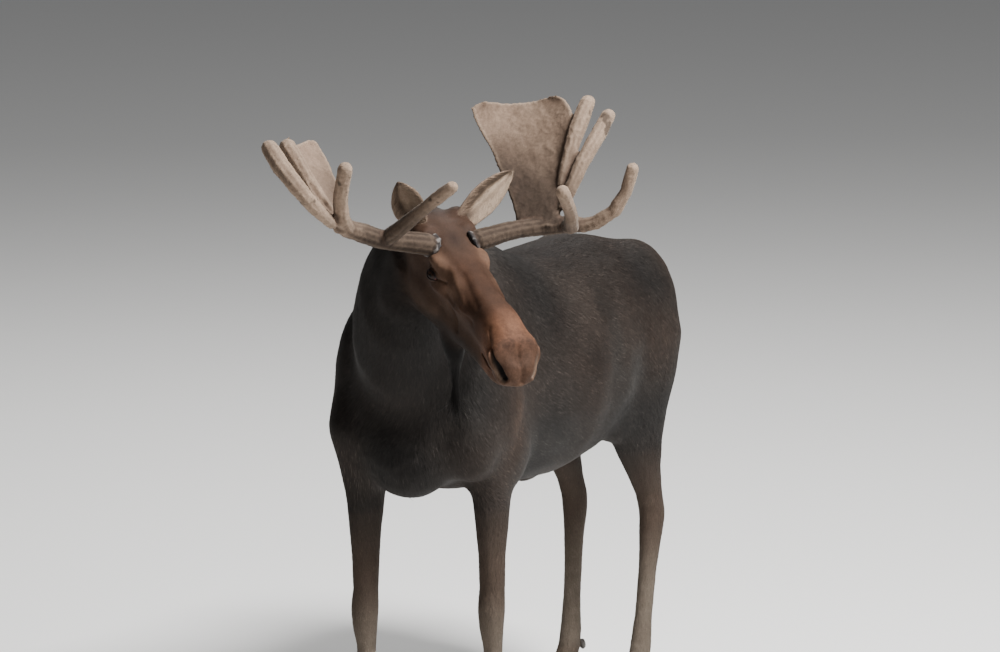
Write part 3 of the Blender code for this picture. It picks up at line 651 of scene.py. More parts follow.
def shapeEye(places, sideName):
    # lays the lids over the ball and opens them
    s = eyeShape
    outward = eyeAxes(sideName)[1]
    deep, x, y, ring = eyePlaces(places, sideName)
    ball = s["radius"] * headPose["size"]
    flat = np.hypot(x, y)
    onBall = np.sqrt(np.maximum(ball ** 2 - flat ** 2, 0.0))
    more, edge = s["roll"]
    thick = s["lid"] * (1 + more * np.exp(-(ring / edge) ** 2))
    lid = np.where(flat < ball, onBall + thick, -0.02)
    reach = s["melt"]
    share = np.clip(0.5 + 0.5 * (lid - deep) / reach, 0.0, 1.0)
    shaped = deep * (1 - share) + lid * share + reach * share * (1 - share)
    for height, width, fold in s["topFolds"]:
        shaped += fold * np.exp(-((ring - height) / width) ** 2) * (y > s["split"])
    height, width, fold = s["lowFold"]
    shaped += fold * np.exp(-((ring - height) / width) ** 2) * (y < s["split"])
    opened = step(-ring, -0.0003, 0.0012)
    shaped = shaped * (1 - opened) + (onBall - s["sunk"]) * opened
    near = (np.linalg.norm(np.stack([deep, x, y], axis=1), axis=1) < 0.055) & (deep > -0.004)
    return places + ((shaped - deep) * near)[:, None] * outward, np.where(near, ring, 0.1)


def shapeFace(mesh, weights):
    places = coordinates(mesh)
    out = normals(mesh)
    onHead = step(weights[:, regionOf["head"]], 0.3, 0.8)
    local = mirrored(toHead(places))
    height = np.zeros(len(places))
    for place, radii, rise in faceMasses.values():
        distance = np.linalg.norm((local - place) / radii, axis=1)
        height += rise * np.exp(-distance ** 2)
    for points, radius, rise in faceLines.values():
        height += rise * np.exp(-(lineDistance(local, points)[0] / radius) ** 2)
    places = places + out * (height * onHead)[:, None]
    dark = {}
    for name, (points, radii, deep) in cuts.items():
        distance, radius = lineDistance(local, points, radii)
        near = np.exp(-(distance / radius) ** 4)
        places = places - out * (near * deep * onHead)[:, None]
        dark[name] = near * onHead
    rings = np.full(len(places), 0.1)
    for sideName in sides:
        places, ring = shapeEye(places, sideName)
        rings = np.minimum(rings, ring)
    setCoordinates(mesh, places)
    return dark, rings


# muscles and bones under the body's skin: middle (outwards, along, up) as shares of the trunk's
# box, radii in metres, height in metres
bodyMasses = {
    "bladeEdge": ((0.78, 0.16, 0.74), (0.10, 0.05, 0.17), 0.0060),
    "bladeHollow": ((0.80, 0.25, 0.66), (0.10, 0.05, 0.16), -0.0060),
    "shoulderPoint": ((0.90, 0.06, 0.36), (0.12, 0.09, 0.09), 0.0070),
    "elbow": ((0.92, 0.24, 0.26), (0.10, 0.06, 0.07), 0.0060),
    "ribs": ((1.00, 0.42, 0.42), (0.15, 0.20, 0.15), 0.0050),
    "flankHollow": ((0.90, 0.62, 0.70), (0.12, 0.09, 0.09), -0.0110),
    "hip": ((0.84, 0.70, 0.84), (0.09, 0.07, 0.06), 0.0080),
    "backSpine": ((0.00, 0.50, 1.00), (0.05, 0.45, 0.05), 0.0040),
    "loinHollow": ((0.40, 0.58, 0.95), (0.07, 0.20, 0.06), -0.0040),
    "stifle": ((0.95, 0.68, 0.36), (0.12, 0.07, 0.11), 0.0080),
    "bandHollow": ((0.95, 0.59, 0.36), (0.12, 0.04, 0.16), -0.0060),
    "haunchBack": ((0.85, 0.88, 0.60), (0.12, 0.07, 0.18), 0.0050),
    "haunchGroove": ((0.92, 0.81, 0.50), (0.12, 0.03, 0.18), -0.0050),
    "pinBone": ((0.40, 0.97, 0.78), (0.06, 0.05, 0.05), 0.0050),
}

# how much of the way to a dewclaw the skin goes, and how far round it that is felt
dewclawMeet = {"share": 0.85, "reach": 0.010}


def trunkShares(places):
    # outwards, along and up as shares of the trunk's box; outwards is 0 at the middle plane
    low, high = [np.array(v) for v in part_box("trunk")]
    share = (places - low) / (high - low)
    share[:, 0] = np.abs(share[:, 0] * 2 - 1)
    return share, (high - low) * (0.5, 1, 1)


def shapeBody(mesh, weights):
    places = coordinates(mesh)
    share, size = trunkShares(places)
    height = np.zeros(len(places))
    for place, radii, rise in bodyMasses.values():
        height += rise * around(share, place, radii, size)
    height *= 1 - step(weights[:, regionOf["head"]], 0.0, 0.5)
    setCoordinates(mesh, places + normals(mesh) * height[:, None])
    # it rises to meet each dewclaw
    places = coordinates(mesh)
    for name in [n for n in nodes if "dewclaw" in n]:
        centre = np.array(middle(name))
        away = np.linalg.norm(places - centre, axis=1)
        pull = dewclawMeet["share"] * np.exp(-((away - away.min()) / dewclawMeet["reach"]) ** 2)
        places += (centre - places) * pull[:, None]
    setCoordinates(mesh, places)


# where the skin is refined: first head and lower legs, then lines, cuts and eyes, then closer yet
fineSkin = {
    "headWide": 0.16,
    "headFrom": -0.02,
    "headTo": 0.75,
    "headHigh": 0.21,
    "legsBelow": 0.50,
    "closer": (0.010, 0.018, 0.040),    # distance to the lines, the cuts and the eyes
    "closest": (0.0, 0.011, 0.030),
}


def nearLines(local, table, reach):
    return np.minimum.reduce([lineDistance(local, row[0])[0] for row in table.values()]) < reach


def onHeadOrLegs(places, local):
    s = fineSkin
    side, forward, up = local.T
    head = (side < s["headWide"]) & (forward > s["headFrom"]) & (forward < s["headTo"])
    return (head & (np.abs(up) < s["headHigh"])) | (places[:, 2] < s["legsBelow"])


def nearFeatures(local, reaches):
    lines, cutReach, eye = reaches
    near = nearLines(local, cuts, cutReach)
    near |= np.linalg.norm(local - eyeShape["place"], axis=1) < eye
    return near | nearLines(local, faceLines, lines)


settle(skinMesh)
facesNear(skinMesh, [
    onHeadOrLegs,
    lambda places, local: nearFeatures(local, fineSkin["closer"]),
    lambda places, local: nearFeatures(local, fineSkin["closest"]),
])
skinWeights = regionWeights(skinMesh, skinShape["blend"])
darkCuts, lidRings = shapeFace(skinMesh, skinWeights)
shapeBody(skinMesh, skinWeights)
report(f"face and muscles: {len(skinMesh.polygons)} faces")

# colours of the coat, some with painted light and shade, shared by the skin and the hair on it

coatColours = {
    "body": (0.0098, 0.0083, 0.0076),
    "bodyBrown": (0.0420, 0.0270, 0.0195),
    # grey hair, and painted sheen where the grey patches lie on the flank's band, the stifle, low on
    # the ribs and along the back
    "bodyGreyAndSheen": (0.0280, 0.0260, 0.0240),
    # darker hair, and painted shade on the neck, the bell and in the flank's hollow
    "bodyDarkAndShade": (0.0062, 0.0054, 0.0051),
    "legs": (0.1300, 0.1060, 0.0830),
    "knee": (0.0600, 0.0420, 0.0310),
    "face": (0.0480, 0.0235, 0.0140),
    "forehead": (0.0430, 0.0245, 0.0165),
    # dark hair, painted at the whorl as shade in the forehead's dip; also the whiskers' colour
    "whorl": (0.0210, 0.0120, 0.0085),
    # paler hair over the eyes, also used for painted highlights on the brow, the crest and the cheek
    # below the eye
    "brow": (0.1500, 0.0860, 0.0560),
    "cheek": (0.0520, 0.0305, 0.0200),
    "jaw": (0.0160, 0.0100, 0.0075),
    "muzzle": (0.0640, 0.0345, 0.0220),
    "muzzleTop": (0.1550, 0.0720, 0.0410),
    "mottle": (0.0170, 0.0085, 0.0052),
    "bare": (0.0100, 0.0080, 0.0078),
    "lipPale": (0.2600, 0.1800, 0.1300),
}

# patches of the body: outwards, along and up as shares of the trunk's box; radii in metres
bodyPatches = (
    ("bodyDarkAndShade", (0.62, 0.53, 0.84), (0.20, 0.10, 0.07), 0.60),
    # painted shade in the flank's hollow
    ("bodyDarkAndShade", (0.90, 0.58, 0.66), (0.20, 0.06, 0.07), 0.55),
    ("bodyDarkAndShade", (0.97, 0.51, 0.48), (0.20, 0.07, 0.09), 0.45),
    # painted sheen: grey on the flank's band, the stifle, low on the ribs and along the back
    ("bodyGreyAndSheen", (0.97, 0.60, 0.46), (0.20, 0.05, 0.14), 0.75),
    ("bodyGreyAndSheen", (0.95, 0.69, 0.38), (0.20, 0.09, 0.10), 0.80),
    ("bodyGreyAndSheen", (0.88, 0.40, 0.20), (0.20, 0.16, 0.07), 0.75),
    ("bodyGreyAndSheen", (0.30, 0.30, 0.98), (0.16, 0.30, 0.10), 0.60),
    ("bodyBrown", (0.97, 0.20, 0.38), (0.20, 0.05, 0.13), 0.90),
    ("bodyBrown", (0.60, 0.92, 0.80), (0.20, 0.12, 0.12), 0.60),
)


def blend(base, colour, amount):
    amount = np.clip(amount, 0.0, 1.0)[:, None]
    return base * (1 - amount) + np.array(colour) * amount


def painted(colour, places):
    return np.tile(np.array(colour), (len(places), 1))


def layered(base, colours, layers):
    # lays each named colour over what is there, by its amount
    for name, amount in layers:
        base = blend(base, colours[name], amount)
    return base


# patches of the head, laid on last: side, forward, up; radii in metres; amount. The brow-coloured ones
# are paler hair, lightened as painted highlights on the brow's and the crest's bulges
facePatches = (
    ("brow", (0.074, 0.206, 0.048), (0.030, 0.052, 0.022), 0.85),
    ("brow", (0.066, 0.300, 0.010), (0.026, 0.050, 0.026), 0.60),
    ("brow", (0.066, 0.535, -0.012), (0.018, 0.018, 0.012), 0.45),
    ("cheek", (0.060, 0.298, -0.062), (0.024, 0.018, 0.018), 0.85),
    # painted shade in the forehead's dip, at the whorl
    ("whorl", (0.0, 0.160, 0.092), (0.024, 0.034, 0.040), 0.75),
    ("cheek", (0.084, 0.160, 0.010), (0.030, 0.030, 0.030), 0.55),
)
# painted highlight: a lit band on the cheek below the eye
paintedHighlightPatch = ((0.066, 0.285, 0.006), (0.022, 0.050, 0.034))


def bodyColourAndPaintedLight(places, weights, fine):
    slow = valueNoise(places, 0.19, 11)
    colour = layered(painted(coatColours["body"], places), coatColours, (
        ("bodyGreyAndSheen", 0.34 + 0.30 * slow + 0.12 * fine),
        ("bodyBrown", 0.14 + 0.30 * valueNoise(places, 0.26, 13)),
    ))
    share, size = trunkShares(places)
    colour = layered(colour, coatColours, [
        (name, around(share, place, radii, size) * amount * (1 + 0.4 * fine))
        for name, place, radii, amount in bodyPatches])
    # the legs grow paler from the knee down
    height = places[:, 2]
    leg, bell = weights[:, regionOf["leg"]], weights[:, regionOf["bell"]]
    return layered(colour, coatColours, (
        ("knee", step(leg, 0.2, 0.9) * step(-height, -0.98, -0.62) * 0.85),
        ("legs", step(-height, -0.64, -0.36) * (0.80 + 0.15 * fine)),
        ("knee", step(-height, -0.16, -0.09) * 0.8),
        # neck and bell painted darker: painted shade under the head
        ("bodyDarkAndShade", (weights[:, regionOf["neck"]] + bell) * 0.55),
        ("bodyDarkAndShade", step(bell, 0.2, 0.7) * 0.8),
    ))


def faceColourAndPaintedLight(places, weights, fine, small):
    local = mirrored(toHead(places))
    side, forward, up = local.T
    under = np.maximum(step(weights[:, regionOf["bell"]], 0.02, 0.3),
                       step(-up, 0.165, 0.215) * step(-forward, -0.48, -0.40))
    face = layered(painted(coatColours["face"], places), coatColours, (
        ("forehead", step(-forward, -0.28, -0.18) * (0.80 + 0.25 * fine)),
        ("cheek", step(-up, 0.020, 0.110) * step(-forward, -0.54, -0.36)),
        ("cheek", step(-forward, -0.16, -0.06) * step(-up, -0.05, 0.04) * 0.9),
        ("jaw", step(-up, 0.110, 0.150) * 0.9),
        ("jaw", step(-forward, -0.10, 0.00) * step(-up, -0.02, 0.08) * 0.8),
        # painted highlight on the cheek below the eye
        ("brow", around(local, *paintedHighlightPatch) * 0.6),
        ("bodyDarkAndShade", under),
        ("muzzleTop", step(forward, 0.44, 0.54) * 0.75),
        ("muzzle", step(forward - 0.5 * up, 0.575, 0.635) * 0.9),
    ))
    face = layered(face, coatColours, [(name, around(local, place, radii) * amount)
                                       for name, place, radii, amount in facePatches])
    speck = valueNoise(places, 0.0085, 14) + 0.7 * valueNoise(places, 0.0045, 15)
    mottle = step(speck, -0.35, 0.55)
    band = np.exp(-((forward - 0.592 - 0.25 * (0.006 - up)) / 0.021) ** 2) * step(up, -0.035, -0.012)
    face = layered(face, coatColours, (
        ("mottle", band * (0.45 + 0.5 * mottle) * 0.60),
        ("mottle", step(forward, 0.40, 0.62) * mottle * 0.26),
        ("cheek", step(forward, 0.56, 0.62) * step(side, 0.050, 0.072) * 0.35),
    ))
    return face * (1 + 0.16 * fine + 0.12 * small)[:, None]


def colourAndPaintedLight(places, weights):
    # body and head; the border between them is ragged
    fine, small = valueNoise(places, 0.030, 12), valueNoise(places, 0.011, 17)
    _, forward, up = toHead(places).T
    ragged = 0.020 * fine + 0.010 * small
    head = step(weights[:, regionOf["head"]], 0.10, 0.90)
    head *= step(forward + ragged - 0.35 * np.maximum(-up, 0), -0.045, 0.075)
    colour = bodyColourAndPaintedLight(places, weights, fine)
    face = faceColourAndPaintedLight(places, weights, fine, small)
    return colour * (1 - head)[:, None] + face * head[:, None]


def bareSkin(colour, places, dark, rings):
    # lids, lips and nostrils are dark and hairless
    c = coatColours
    local = mirrored(toHead(places))
    colour = blend(colour, c["bare"], 1 - step(rings, 0.0022, 0.0050))
    for near in dark.values():
        colour = blend(colour, c["bare"], step(near, 0.15, 0.55))
    tear = lineDistance(local, faceLines["tearTrough"][0])[0]
    colour = blend(colour, c["bare"], np.exp(-(tear / 0.0032) ** 2) * 0.9)
    paleRim = lineDistance(local, faceLines["nostrilRim"][0])[0]
    nostril = np.maximum(dark["nostril"], 0.0)
    colour = blend(colour, c["lipPale"], np.exp(-(paleRim / 0.0045) ** 2) * (1 - nostril) * 0.85)
    lip = lineDistance(local, faceLines["lipEdge"][0])[0]
    return blend(colour, c["lipPale"], np.exp(-(lip / 0.004) ** 2) * (1 - dark["mouth"]) * 0.30)


skinPlaces = coordinates(skinMesh)
skinColourAndPaintedLight = colourAndPaintedLight(skinPlaces, skinWeights)
setColour(skinMesh, bareSkin(skinColourAndPaintedLight, skinPlaces, darkCuts, lidRings))

# which way the hair lies

lieGuides = (
    # on one half of the trunk: outwards, along, up as shares of its box; then outwards, back, up
    ((0.0, 0.20, 1.0), (0.00, 1.0, -0.10)),
    ((0.9, 0.15, 0.7), (0.00, 0.7, -0.75)),
    ((0.4, 0.00, 0.3), (0.25, 0.3, -1.00)),
    ((1.0, 0.30, 0.4), (0.00, 0.7, -0.70)),
    ((1.0, 0.55, 0.5), (0.00, 1.0, -0.28)),
    ((0.8, 0.55, 0.1), (0.00, 1.0, 0.05)),
    ((0.0, 0.60, 1.0), (0.00, 1.0, -0.05)),
    ((0.8, 0.80, 0.8), (0.10, 0.9, -0.60)),
    ((1.0, 0.85, 0.4), (0.00, 0.5, -1.00)),
    ((0.7, 0.75, 0.1), (0.00, 0.4, -1.00)),
    ((0.0, 1.00, 0.5), (0.10, 0.2, -1.00)),
)


def flattened(vectors, out):
    return unit(vectors - out * (vectors * out).sum(axis=1)[:, None])


def hairLie(mesh, weights):
    places, out = coordinates(mesh), normals(mesh)
    share = trunkShares(places)[0]
    outwards = np.sign(places[:, 0] - middle("trunk").x)
    trunk = np.zeros_like(places)
    for place, direction in lieGuides:
        near = np.exp(-((share - place) ** 2).sum(axis=1) / 0.09) + 1e-6
        trunk += near[:, None] * np.stack([outwards * direction[0], np.full(len(places), direction[1]),
                                           np.full(len(places), direction[2])], axis=1)
    neckAxis = np.array(middle("trunk") - middle("head"))
    neck = unit(np.array((neckAxis[0], neckAxis[1] * 0.7, neckAxis[2] - 0.35)))
    side, forward, up = toHead(places).T
    away = np.clip(side / 0.05, -1, 1)
    head = np.stack([away * (0.12 + 0.20 * step(-up, 0.0, 0.12)), -np.ones(len(places)),
                     -0.50 * step(-up, -0.03, 0.08)], axis=1)
    # from the whorl on the forehead the hair runs outwards, and on the muzzle's front down
    whorl = step(-forward, -0.26, -0.14)[:, None]
    parted = np.stack([away, -0.3 * np.ones(len(side)), 0 * side], axis=1)
    head = head * (1 - 0.6 * whorl) + whorl * parted
    front = step(forward - 0.4 * up, 0.615, 0.665)[:, None]
    down = np.stack([away * 0.25, 0.2 * np.ones(len(side)), -np.ones(len(side))], axis=1)
    head = headDirection(head * (1 - front) + down * front)
    hanging = painted((0.0, 0.10, -1.0), places)
    limbs = weights[:, [regionOf["leg"], regionOf["bell"], regionOf["tail"]]].sum(axis=1)
    lie = (unit(trunk) * weights[:, [regionOf["trunk"]]] + neck * weights[:, [regionOf["neck"]]]
           + head * weights[:, [regionOf["head"]]] + hanging * limbs[:, None])
    swirl = np.stack([valueNoise(places, 0.20, 20 + k) for k in range(3)], axis=1)
    lie = flattened(unit(lie) + swirl * 0.20, out)
    return flattened(smoothed(edgePairs(mesh), lie, 6), out)


skinLie = hairLie(skinMesh, skinWeights)
report("colours and lie of the hair")


pileLooks = {
    # roughness, specular, sheen and its roughness; sheen's tint; grain: tint, size and detail;
    # relief: size, strength and depth
    "coat_skin": {"shine": (0.70, 0.12, 0.02, 0.40), "tint": (1.0, 0.94, 0.88, 1.0),
                  "dim": (0.74, 0.72, 0.70, 1.0), "grain": (260.0, 3.0),
                  "relief": (468.0, 0.35, 0.002)},
    "coat_hair": {"shine": (0.60, 0.09, 0.01, 0.40), "tint": (1.0, 0.94, 0.88, 1.0),
                  "dim": (0.74, 0.72, 0.70, 1.0), "grain": (420.0, 3.0), "relief": None},
    "velvet": {"shine": (0.85, 0.12, 0.08, 0.35), "tint": (1.0, 0.93, 0.85, 1.0),
               "dim": (0.62, 0.60, 0.58, 1.0), "grain": (520.0, 4.0),
               "relief": (900.0, 0.5, 0.001)},
}


def pileMaterial(name, s):
    # the colour comes with the mesh; fine grain breaks it up
    rough, specular, sheen, sheenRough = s["shine"]
    made, tree, shader = nodeMaterial(name, Roughness=rough, Specular_IOR_Level=specular,
                                      Sheen_Weight=sheen, Sheen_Roughness=sheenRough,
                                      Sheen_Tint=s["tint"])
    colour = addNode(tree, "ShaderNodeAttribute", attribute_name="colourAndPaintedLight").outputs["Color"]
    place = addNode(tree, "ShaderNodeTexCoord").outputs["Object"]
    lit = ramp(tree, addNoise(tree, place, *s["grain"]), 0.30, 0.70)
    darker = mixColour(tree, colour, s["dim"], 1.0, "MULTIPLY")
    tree.links.new(mixColour(tree, darker, colour, lit), shader.inputs["Base Color"])
    if s["relief"]:
        size, strength, depth = s["relief"]
        addRelief(tree, shader, addNoise(tree, place, size, 2.0), strength, depth)
    return made


skin = newObject("skin", skinMesh)
skinMesh.shade_smooth()
coatSkin = pileMaterial("coat_skin", pileLooks["coat_skin"])
coatHair = pileMaterial("coat_hair", pileLooks["coat_hair"])
skinMesh.materials.append(coatSkin)
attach(skin, "root")
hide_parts(*fleshNodes)

# coat: thin closed tufts that lie along the body


def unwrapped(mesh, wanted):
    # lays the wanted faces of a mesh out flat; gives back their triangles, as vertex numbers of
    # the whole mesh, and where the triangles' corners lie
    work = bmesh.new()
    work.from_mesh(mesh)
    number = work.verts.layers.int.new("number")
    for vertex in work.verts:
        vertex[number] = vertex.index
    gone = [face for face in work.faces if not wanted[face.index]]
    bmesh.ops.delete(work, geom=gone, context="FACES")
    patch = bpy.data.meshes.new("patch")
    work.to_mesh(patch)
    work.free()
    holder = newObject("patch", patch)
    bpy.context.view_layer.objects.active = holder
    bpy.ops.object.mode_set(mode="EDIT")
    bpy.ops.mesh.select_all(action="SELECT")
    bpy.ops.uv.smart_project(angle_limit=math.radians(66), island_margin=0.002)
    bpy.ops.object.mode_set(mode="OBJECT")
    patch.calc_loop_triangles()
    count = len(patch.loop_triangles) * 3
    vertexOf, loopOf = np.empty(count, dtype=np.int64), np.empty(count, dtype=np.int64)
    patch.loop_triangles.foreach_get("vertices", vertexOf)
    patch.loop_triangles.foreach_get("loops", loopOf)
    original = np.empty(len(patch.vertices), dtype=np.int64)
    patch.attributes["number"].data.foreach_get("value", original)
    flat = np.empty(len(patch.loops) * 2)
    patch.uv_layers.active.uv.foreach_get("vector", flat)
    flat = flat.reshape(-1, 2)
    bpy.data.objects.remove(holder)
    bpy.data.meshes.remove(patch)
    return original[vertexOf.reshape(-1, 3)], flat[loopOf.reshape(-1, 3)]


def hairSource(mesh, lie, colours, density, length):
    # what the tufts of one mesh are grown from; density and length are shares at each vertex
    tree = BVHTree.FromPolygons([v.co for v in mesh.vertices], [p.vertices for p in mesh.polygons])
    return {"mesh": mesh, "tree": tree, "places": coordinates(mesh), "normals": normals(mesh),
            "lie": lie, "colours": colours, "density": density, "length": length}


def rootsOn(source, wanted, s, random):
    # roots spread evenly over the wanted faces, with what each finds at its place
    triangles, flat = unwrapped(source["mesh"], wanted)
    a, b, c = (source["places"][triangles[:, k]] for k in range(3))
    area = np.linalg.norm(np.cross(b - a, c - a), axis=1) / 2
    weight = area * source["density"][triangles].mean(axis=1)
    count = s["tufts"]
    marks = (np.arange(count) + random.random(count)) / count * weight.sum()
    chosen = np.minimum(np.searchsorted(np.cumsum(weight), marks), len(weight) - 1)
    u, v = random.random(count), random.random(count)
    over = u + v > 1
    u[over], v[over] = 1 - u[over], 1 - v[over]
    shares = np.stack([1 - u - v, u, v], axis=1)[:, :, None]

    def at(values):
        return (values[triangles[chosen]] * shares).sum(axis=1)

    roots = {"place": at(source["places"]), "up": unit(at(source["normals"])),
             "along": unit(at(source["lie"])), "colour": at(source["colours"]),
             "grown": at(source["length"][:, None]).ravel(),
             "spot": (flat[chosen] * shares).sum(axis=1), "free": np.zeros(count, dtype=bool)}
    return roots, area.sum()


tuftShape = {
    "lengthSpread": 0.35,   # how much tufts differ, as shares
    "widthSpread": 0.3,
    "liftSpread": (-0.7, 0.9),
    "leastLift": 0.0004,    # metres
    "layBack": 0.012,       # a tip this near the skin is laid back on it
    "sameSide": 0.3,        # unless the skin there faces another way
    "rootDeep": 0.0002,
    "ridgeAt": 0.25,        # where the tuft is highest, from root to tip
    "ridgeHigh": 0.10,      # as a share of the width
    "patch": 0.0015,        # half the size of a tuft on the flat map
}


def layTufts(name, roots, source, s, material, random, seed):
    # one closed tuft of four faces at each root, its tip laid back down over the skin
    t = tuftShape
    place, up, grown = roots["place"], roots["up"], roots["grown"]
    count = len(place)
    sway = valueNoise(place, s["clump"], seed) * s["swayTogether"]
    sway = sway + random.normal(0.0, s["sway"], count)
    across = np.cross(up, roots["along"])
    along = unit(roots["along"] * np.cos(sway)[:, None] + across * np.sin(sway)[:, None])
    across = np.cross(up, along)
    spread = random.uniform(-t["lengthSpread"], t["lengthSpread"], count)
    length = s["length"] * grown * (1 + spread)
    length *= 1 + 0.15 * valueNoise(place, s["clump"] * 1.3, seed + 1)
    spread = random.uniform(-t["widthSpread"], t["widthSpread"], count)
    width = s["width"] * np.clip(grown, 0.6, 1.5) ** 0.5 * (1 + spread)
    lift = length * s["lift"] * (1 + random.uniform(*t["liftSpread"], count)) + t["leastLift"]
    tip = place + along * length[:, None]
    for i, point in enumerate(tip):
        found, out, _, distance = source["tree"].find_nearest(Vector(point))
        near = distance < t["layBack"] and out.dot(up[i]) > t["sameSide"]
        if near and not roots["free"][i]:
            tip[i] = found + out * lift[i]
        else:
            tip[i] += up[i] * lift[i]
    base = place - up * (t["rootDeep"] + 0.04 * width)[:, None]
    half = across * (width / 2)[:, None]
    ridge = place * (1 - t["ridgeAt"]) + tip * t["ridgeAt"]
    ridge = ridge + up * (t["ridgeHigh"] * width + 0.0001)[:, None]
    points = np.stack([base + half, base - half, ridge, tip], axis=1).reshape(-1, 3)
    faces = (np.arange(count)[:, None, None] * 4
             + np.array(((0, 2, 3), (2, 1, 3), (1, 0, 3), (0, 1, 2)))[None]).reshape(-1, 3)
    mesh = bpy.data.meshes.new(name)
    fillMesh(mesh, points, faces)
    # neighbours lie together in locks, which catch the light as one
    combed = place - along * (0.7 * (place * along).sum(axis=1))[:, None]
    lock = valueNoise(combed, s["lock"], seed + 2)
    strand = valueNoise(combed, s["lock"] * 0.4, seed + 3)
    tilted = up + across * (s["relief"] * (lock + strand))[:, None]
    lean = across * s["round"]
    bend = np.stack([tilted + lean, tilted - lean, tilted, tilted + along * 0.15], axis=1)
    tone = np.clip(1 + random.normal(0.0, s["tone"], count), 0.5, 1.6)
    # a share of the tufts is painted brighter: painted glints, highlights that the hair would catch
    tone *= np.where(random.random(count) < s["glints"], s["glint"], 1.0)
    tone *= 1 + 0.20 * lock + 0.20 * strand
    shade = roots["colour"] * tone[:, None]
    dim, bright = shade * s["rootTone"], shade * s["tipTone"]
    setColour(mesh, np.stack([dim, dim, dim, bright], axis=1).reshape(-1, 3))
    patch = t["patch"]
    corner = np.array(((-patch, -patch), (patch, -patch), (0.0, -patch * 0.3), (0.0, patch)))
    spots = (roots["spot"][:, None, :] + corner[None]).reshape(-1, 2)
    layer = mesh.uv_layers.new(name="OFBake")
    layer.uv.foreach_set("vector", spots[faces].astype(np.float32).ravel())
    mesh.shade_smooth()
    mesh.normals_split_custom_set_from_vertices(unit(bend.reshape(-1, 3)))
    mesh.materials.append(material)
    tufts = newObject(name, mesh)
    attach(tufts, "root")
    return tufts


def growCoat(name, source, wanted, s, material, seed, extra=None):
    # extra holds single long hairs: places, directions, lengths as shares, and colour
    random = np.random.default_rng(seed)
    roots, area = rootsOn(source, wanted, s, random)
    if extra is not None:
        places, directions, grown, colours = extra
        found = [source["tree"].find_nearest(Vector(p)) for p in places]
        at = np.array([f[0] for f in found])
        nearest = [((roots["place"] - p) ** 2).sum(axis=1).argmin() for p in at]
        more = {"place": at, "up": np.array([f[1] for f in found]), "along": directions,
                "colour": colours, "grown": grown, "spot": roots["spot"][nearest],
                "free": np.ones(len(at), dtype=bool)}
        roots = {key: np.concatenate([roots[key], more[key]]) for key in roots}
    layTufts(name, roots, source, s, material, random, seed)
    report(f"{name}: {len(roots['place'])} tufts on {area:.2f} square metres")


coatShape = {
    # tufts in each piece; length, width, clump and lock in metres; lift as a share of the length;
    # round is how round each tuft shades; sway in radians; the rest are shares
    "trunk": {"tufts": 42000, "length": 0.021, "width": 0.0013, "lift": 0.035, "round": 0.22,
              "sway": 0.08, "swayTogether": 0.05, "clump": 0.150, "tone": 0.24, "rootTone": 0.88,
              "tipTone": 1.18, "glints": 0.11, "glint": 2.9, "lock": 0.034, "relief": 0.42},
    "neck": {"tufts": 42000, "length": 0.024, "width": 0.0014, "lift": 0.050, "round": 0.25,
             "sway": 0.10, "swayTogether": 0.07, "clump": 0.120, "tone": 0.17, "rootTone": 0.86,
             "tipTone": 1.18, "glints": 0.08, "glint": 2.5, "lock": 0.030, "relief": 0.38},
    "head": {"tufts": 46000, "length": 0.0095, "width": 0.0008, "lift": 0.080, "round": 0.28,
             "sway": 0.15, "swayTogether": 0.12, "clump": 0.030, "tone": 0.15, "rootTone": 0.88,
             "tipTone": 1.14, "glints": 0.07, "glint": 1.6, "lock": 0.012, "relief": 0.16},
    "leg": {"tufts": 23000, "length": 0.014, "width": 0.0012, "lift": 0.050, "round": 0.28,
            "sway": 0.12, "swayTogether": 0.08, "clump": 0.040, "tone": 0.16, "rootTone": 0.88,
            "tipTone": 1.15, "glints": 0.06, "glint": 1.7, "lock": 0.018, "relief": 0.20},
}


def facePicks(mesh, weights):
    # the faces of each piece of coat: trunk in four, neck, head in two, front and hind legs
    first = np.empty(len(mesh.polygons), dtype=np.int64)
    mesh.polygons.foreach_get("loop_start", first)
    loops = np.empty(len(mesh.loops), dtype=np.int64)
    mesh.loops.foreach_get("vertex_index", loops)
    anchor = loops[first]
    region = weights.argmax(axis=1)[anchor]
    place = coordinates(mesh)[anchor]
    centre = middle("trunk")
    left, rear = place[:, 0] > centre.x, place[:, 1] > centre.y
    leftFace = toHead(place)[:, 0] > 0
    trunk = (region == regionOf["trunk"]) | (region == regionOf["tail"])
    neck = (region == regionOf["neck"]) | (region == regionOf["bell"])
    leg, head = region == regionOf["leg"], region == regionOf["head"]
    return {
        "coat_left_front": ("trunk", trunk & left & ~rear),
        "coat_right_front": ("trunk", trunk & ~left & ~rear),
        "coat_left_rear": ("trunk", trunk & left & rear),
        "coat_right_rear": ("trunk", trunk & ~left & rear),
        "coat_neck": ("neck", neck),
        "coat_head_left": ("head", head & leftFace),
        "coat_head_right": ("head", head & ~leftFace),
        "coat_forelegs": ("leg", leg & ~rear),
        "coat_hindlegs": ("leg", leg & rear),
    }


# longer coat: place as shares of the trunk's box, radii in metres, how much longer as a share
longerCoat = {
    "hump": ((0.0, 0.12, 1.0), (0.16, 0.28, 0.12), 0.7),
    "breast": ((0.2, 0.02, 0.12), (0.22, 0.16, 0.14), 0.8),
    "belly": ((0.3, 0.45, 0.02), (0.20, 0.35, 0.06), 0.6),
    "elbow": ((0.8, 0.26, 0.22), (0.10, 0.07, 0.08), 0.5),
    "thighBack": ((0.5, 0.97, 0.30), (0.20, 0.10, 0.20), 0.5),
}


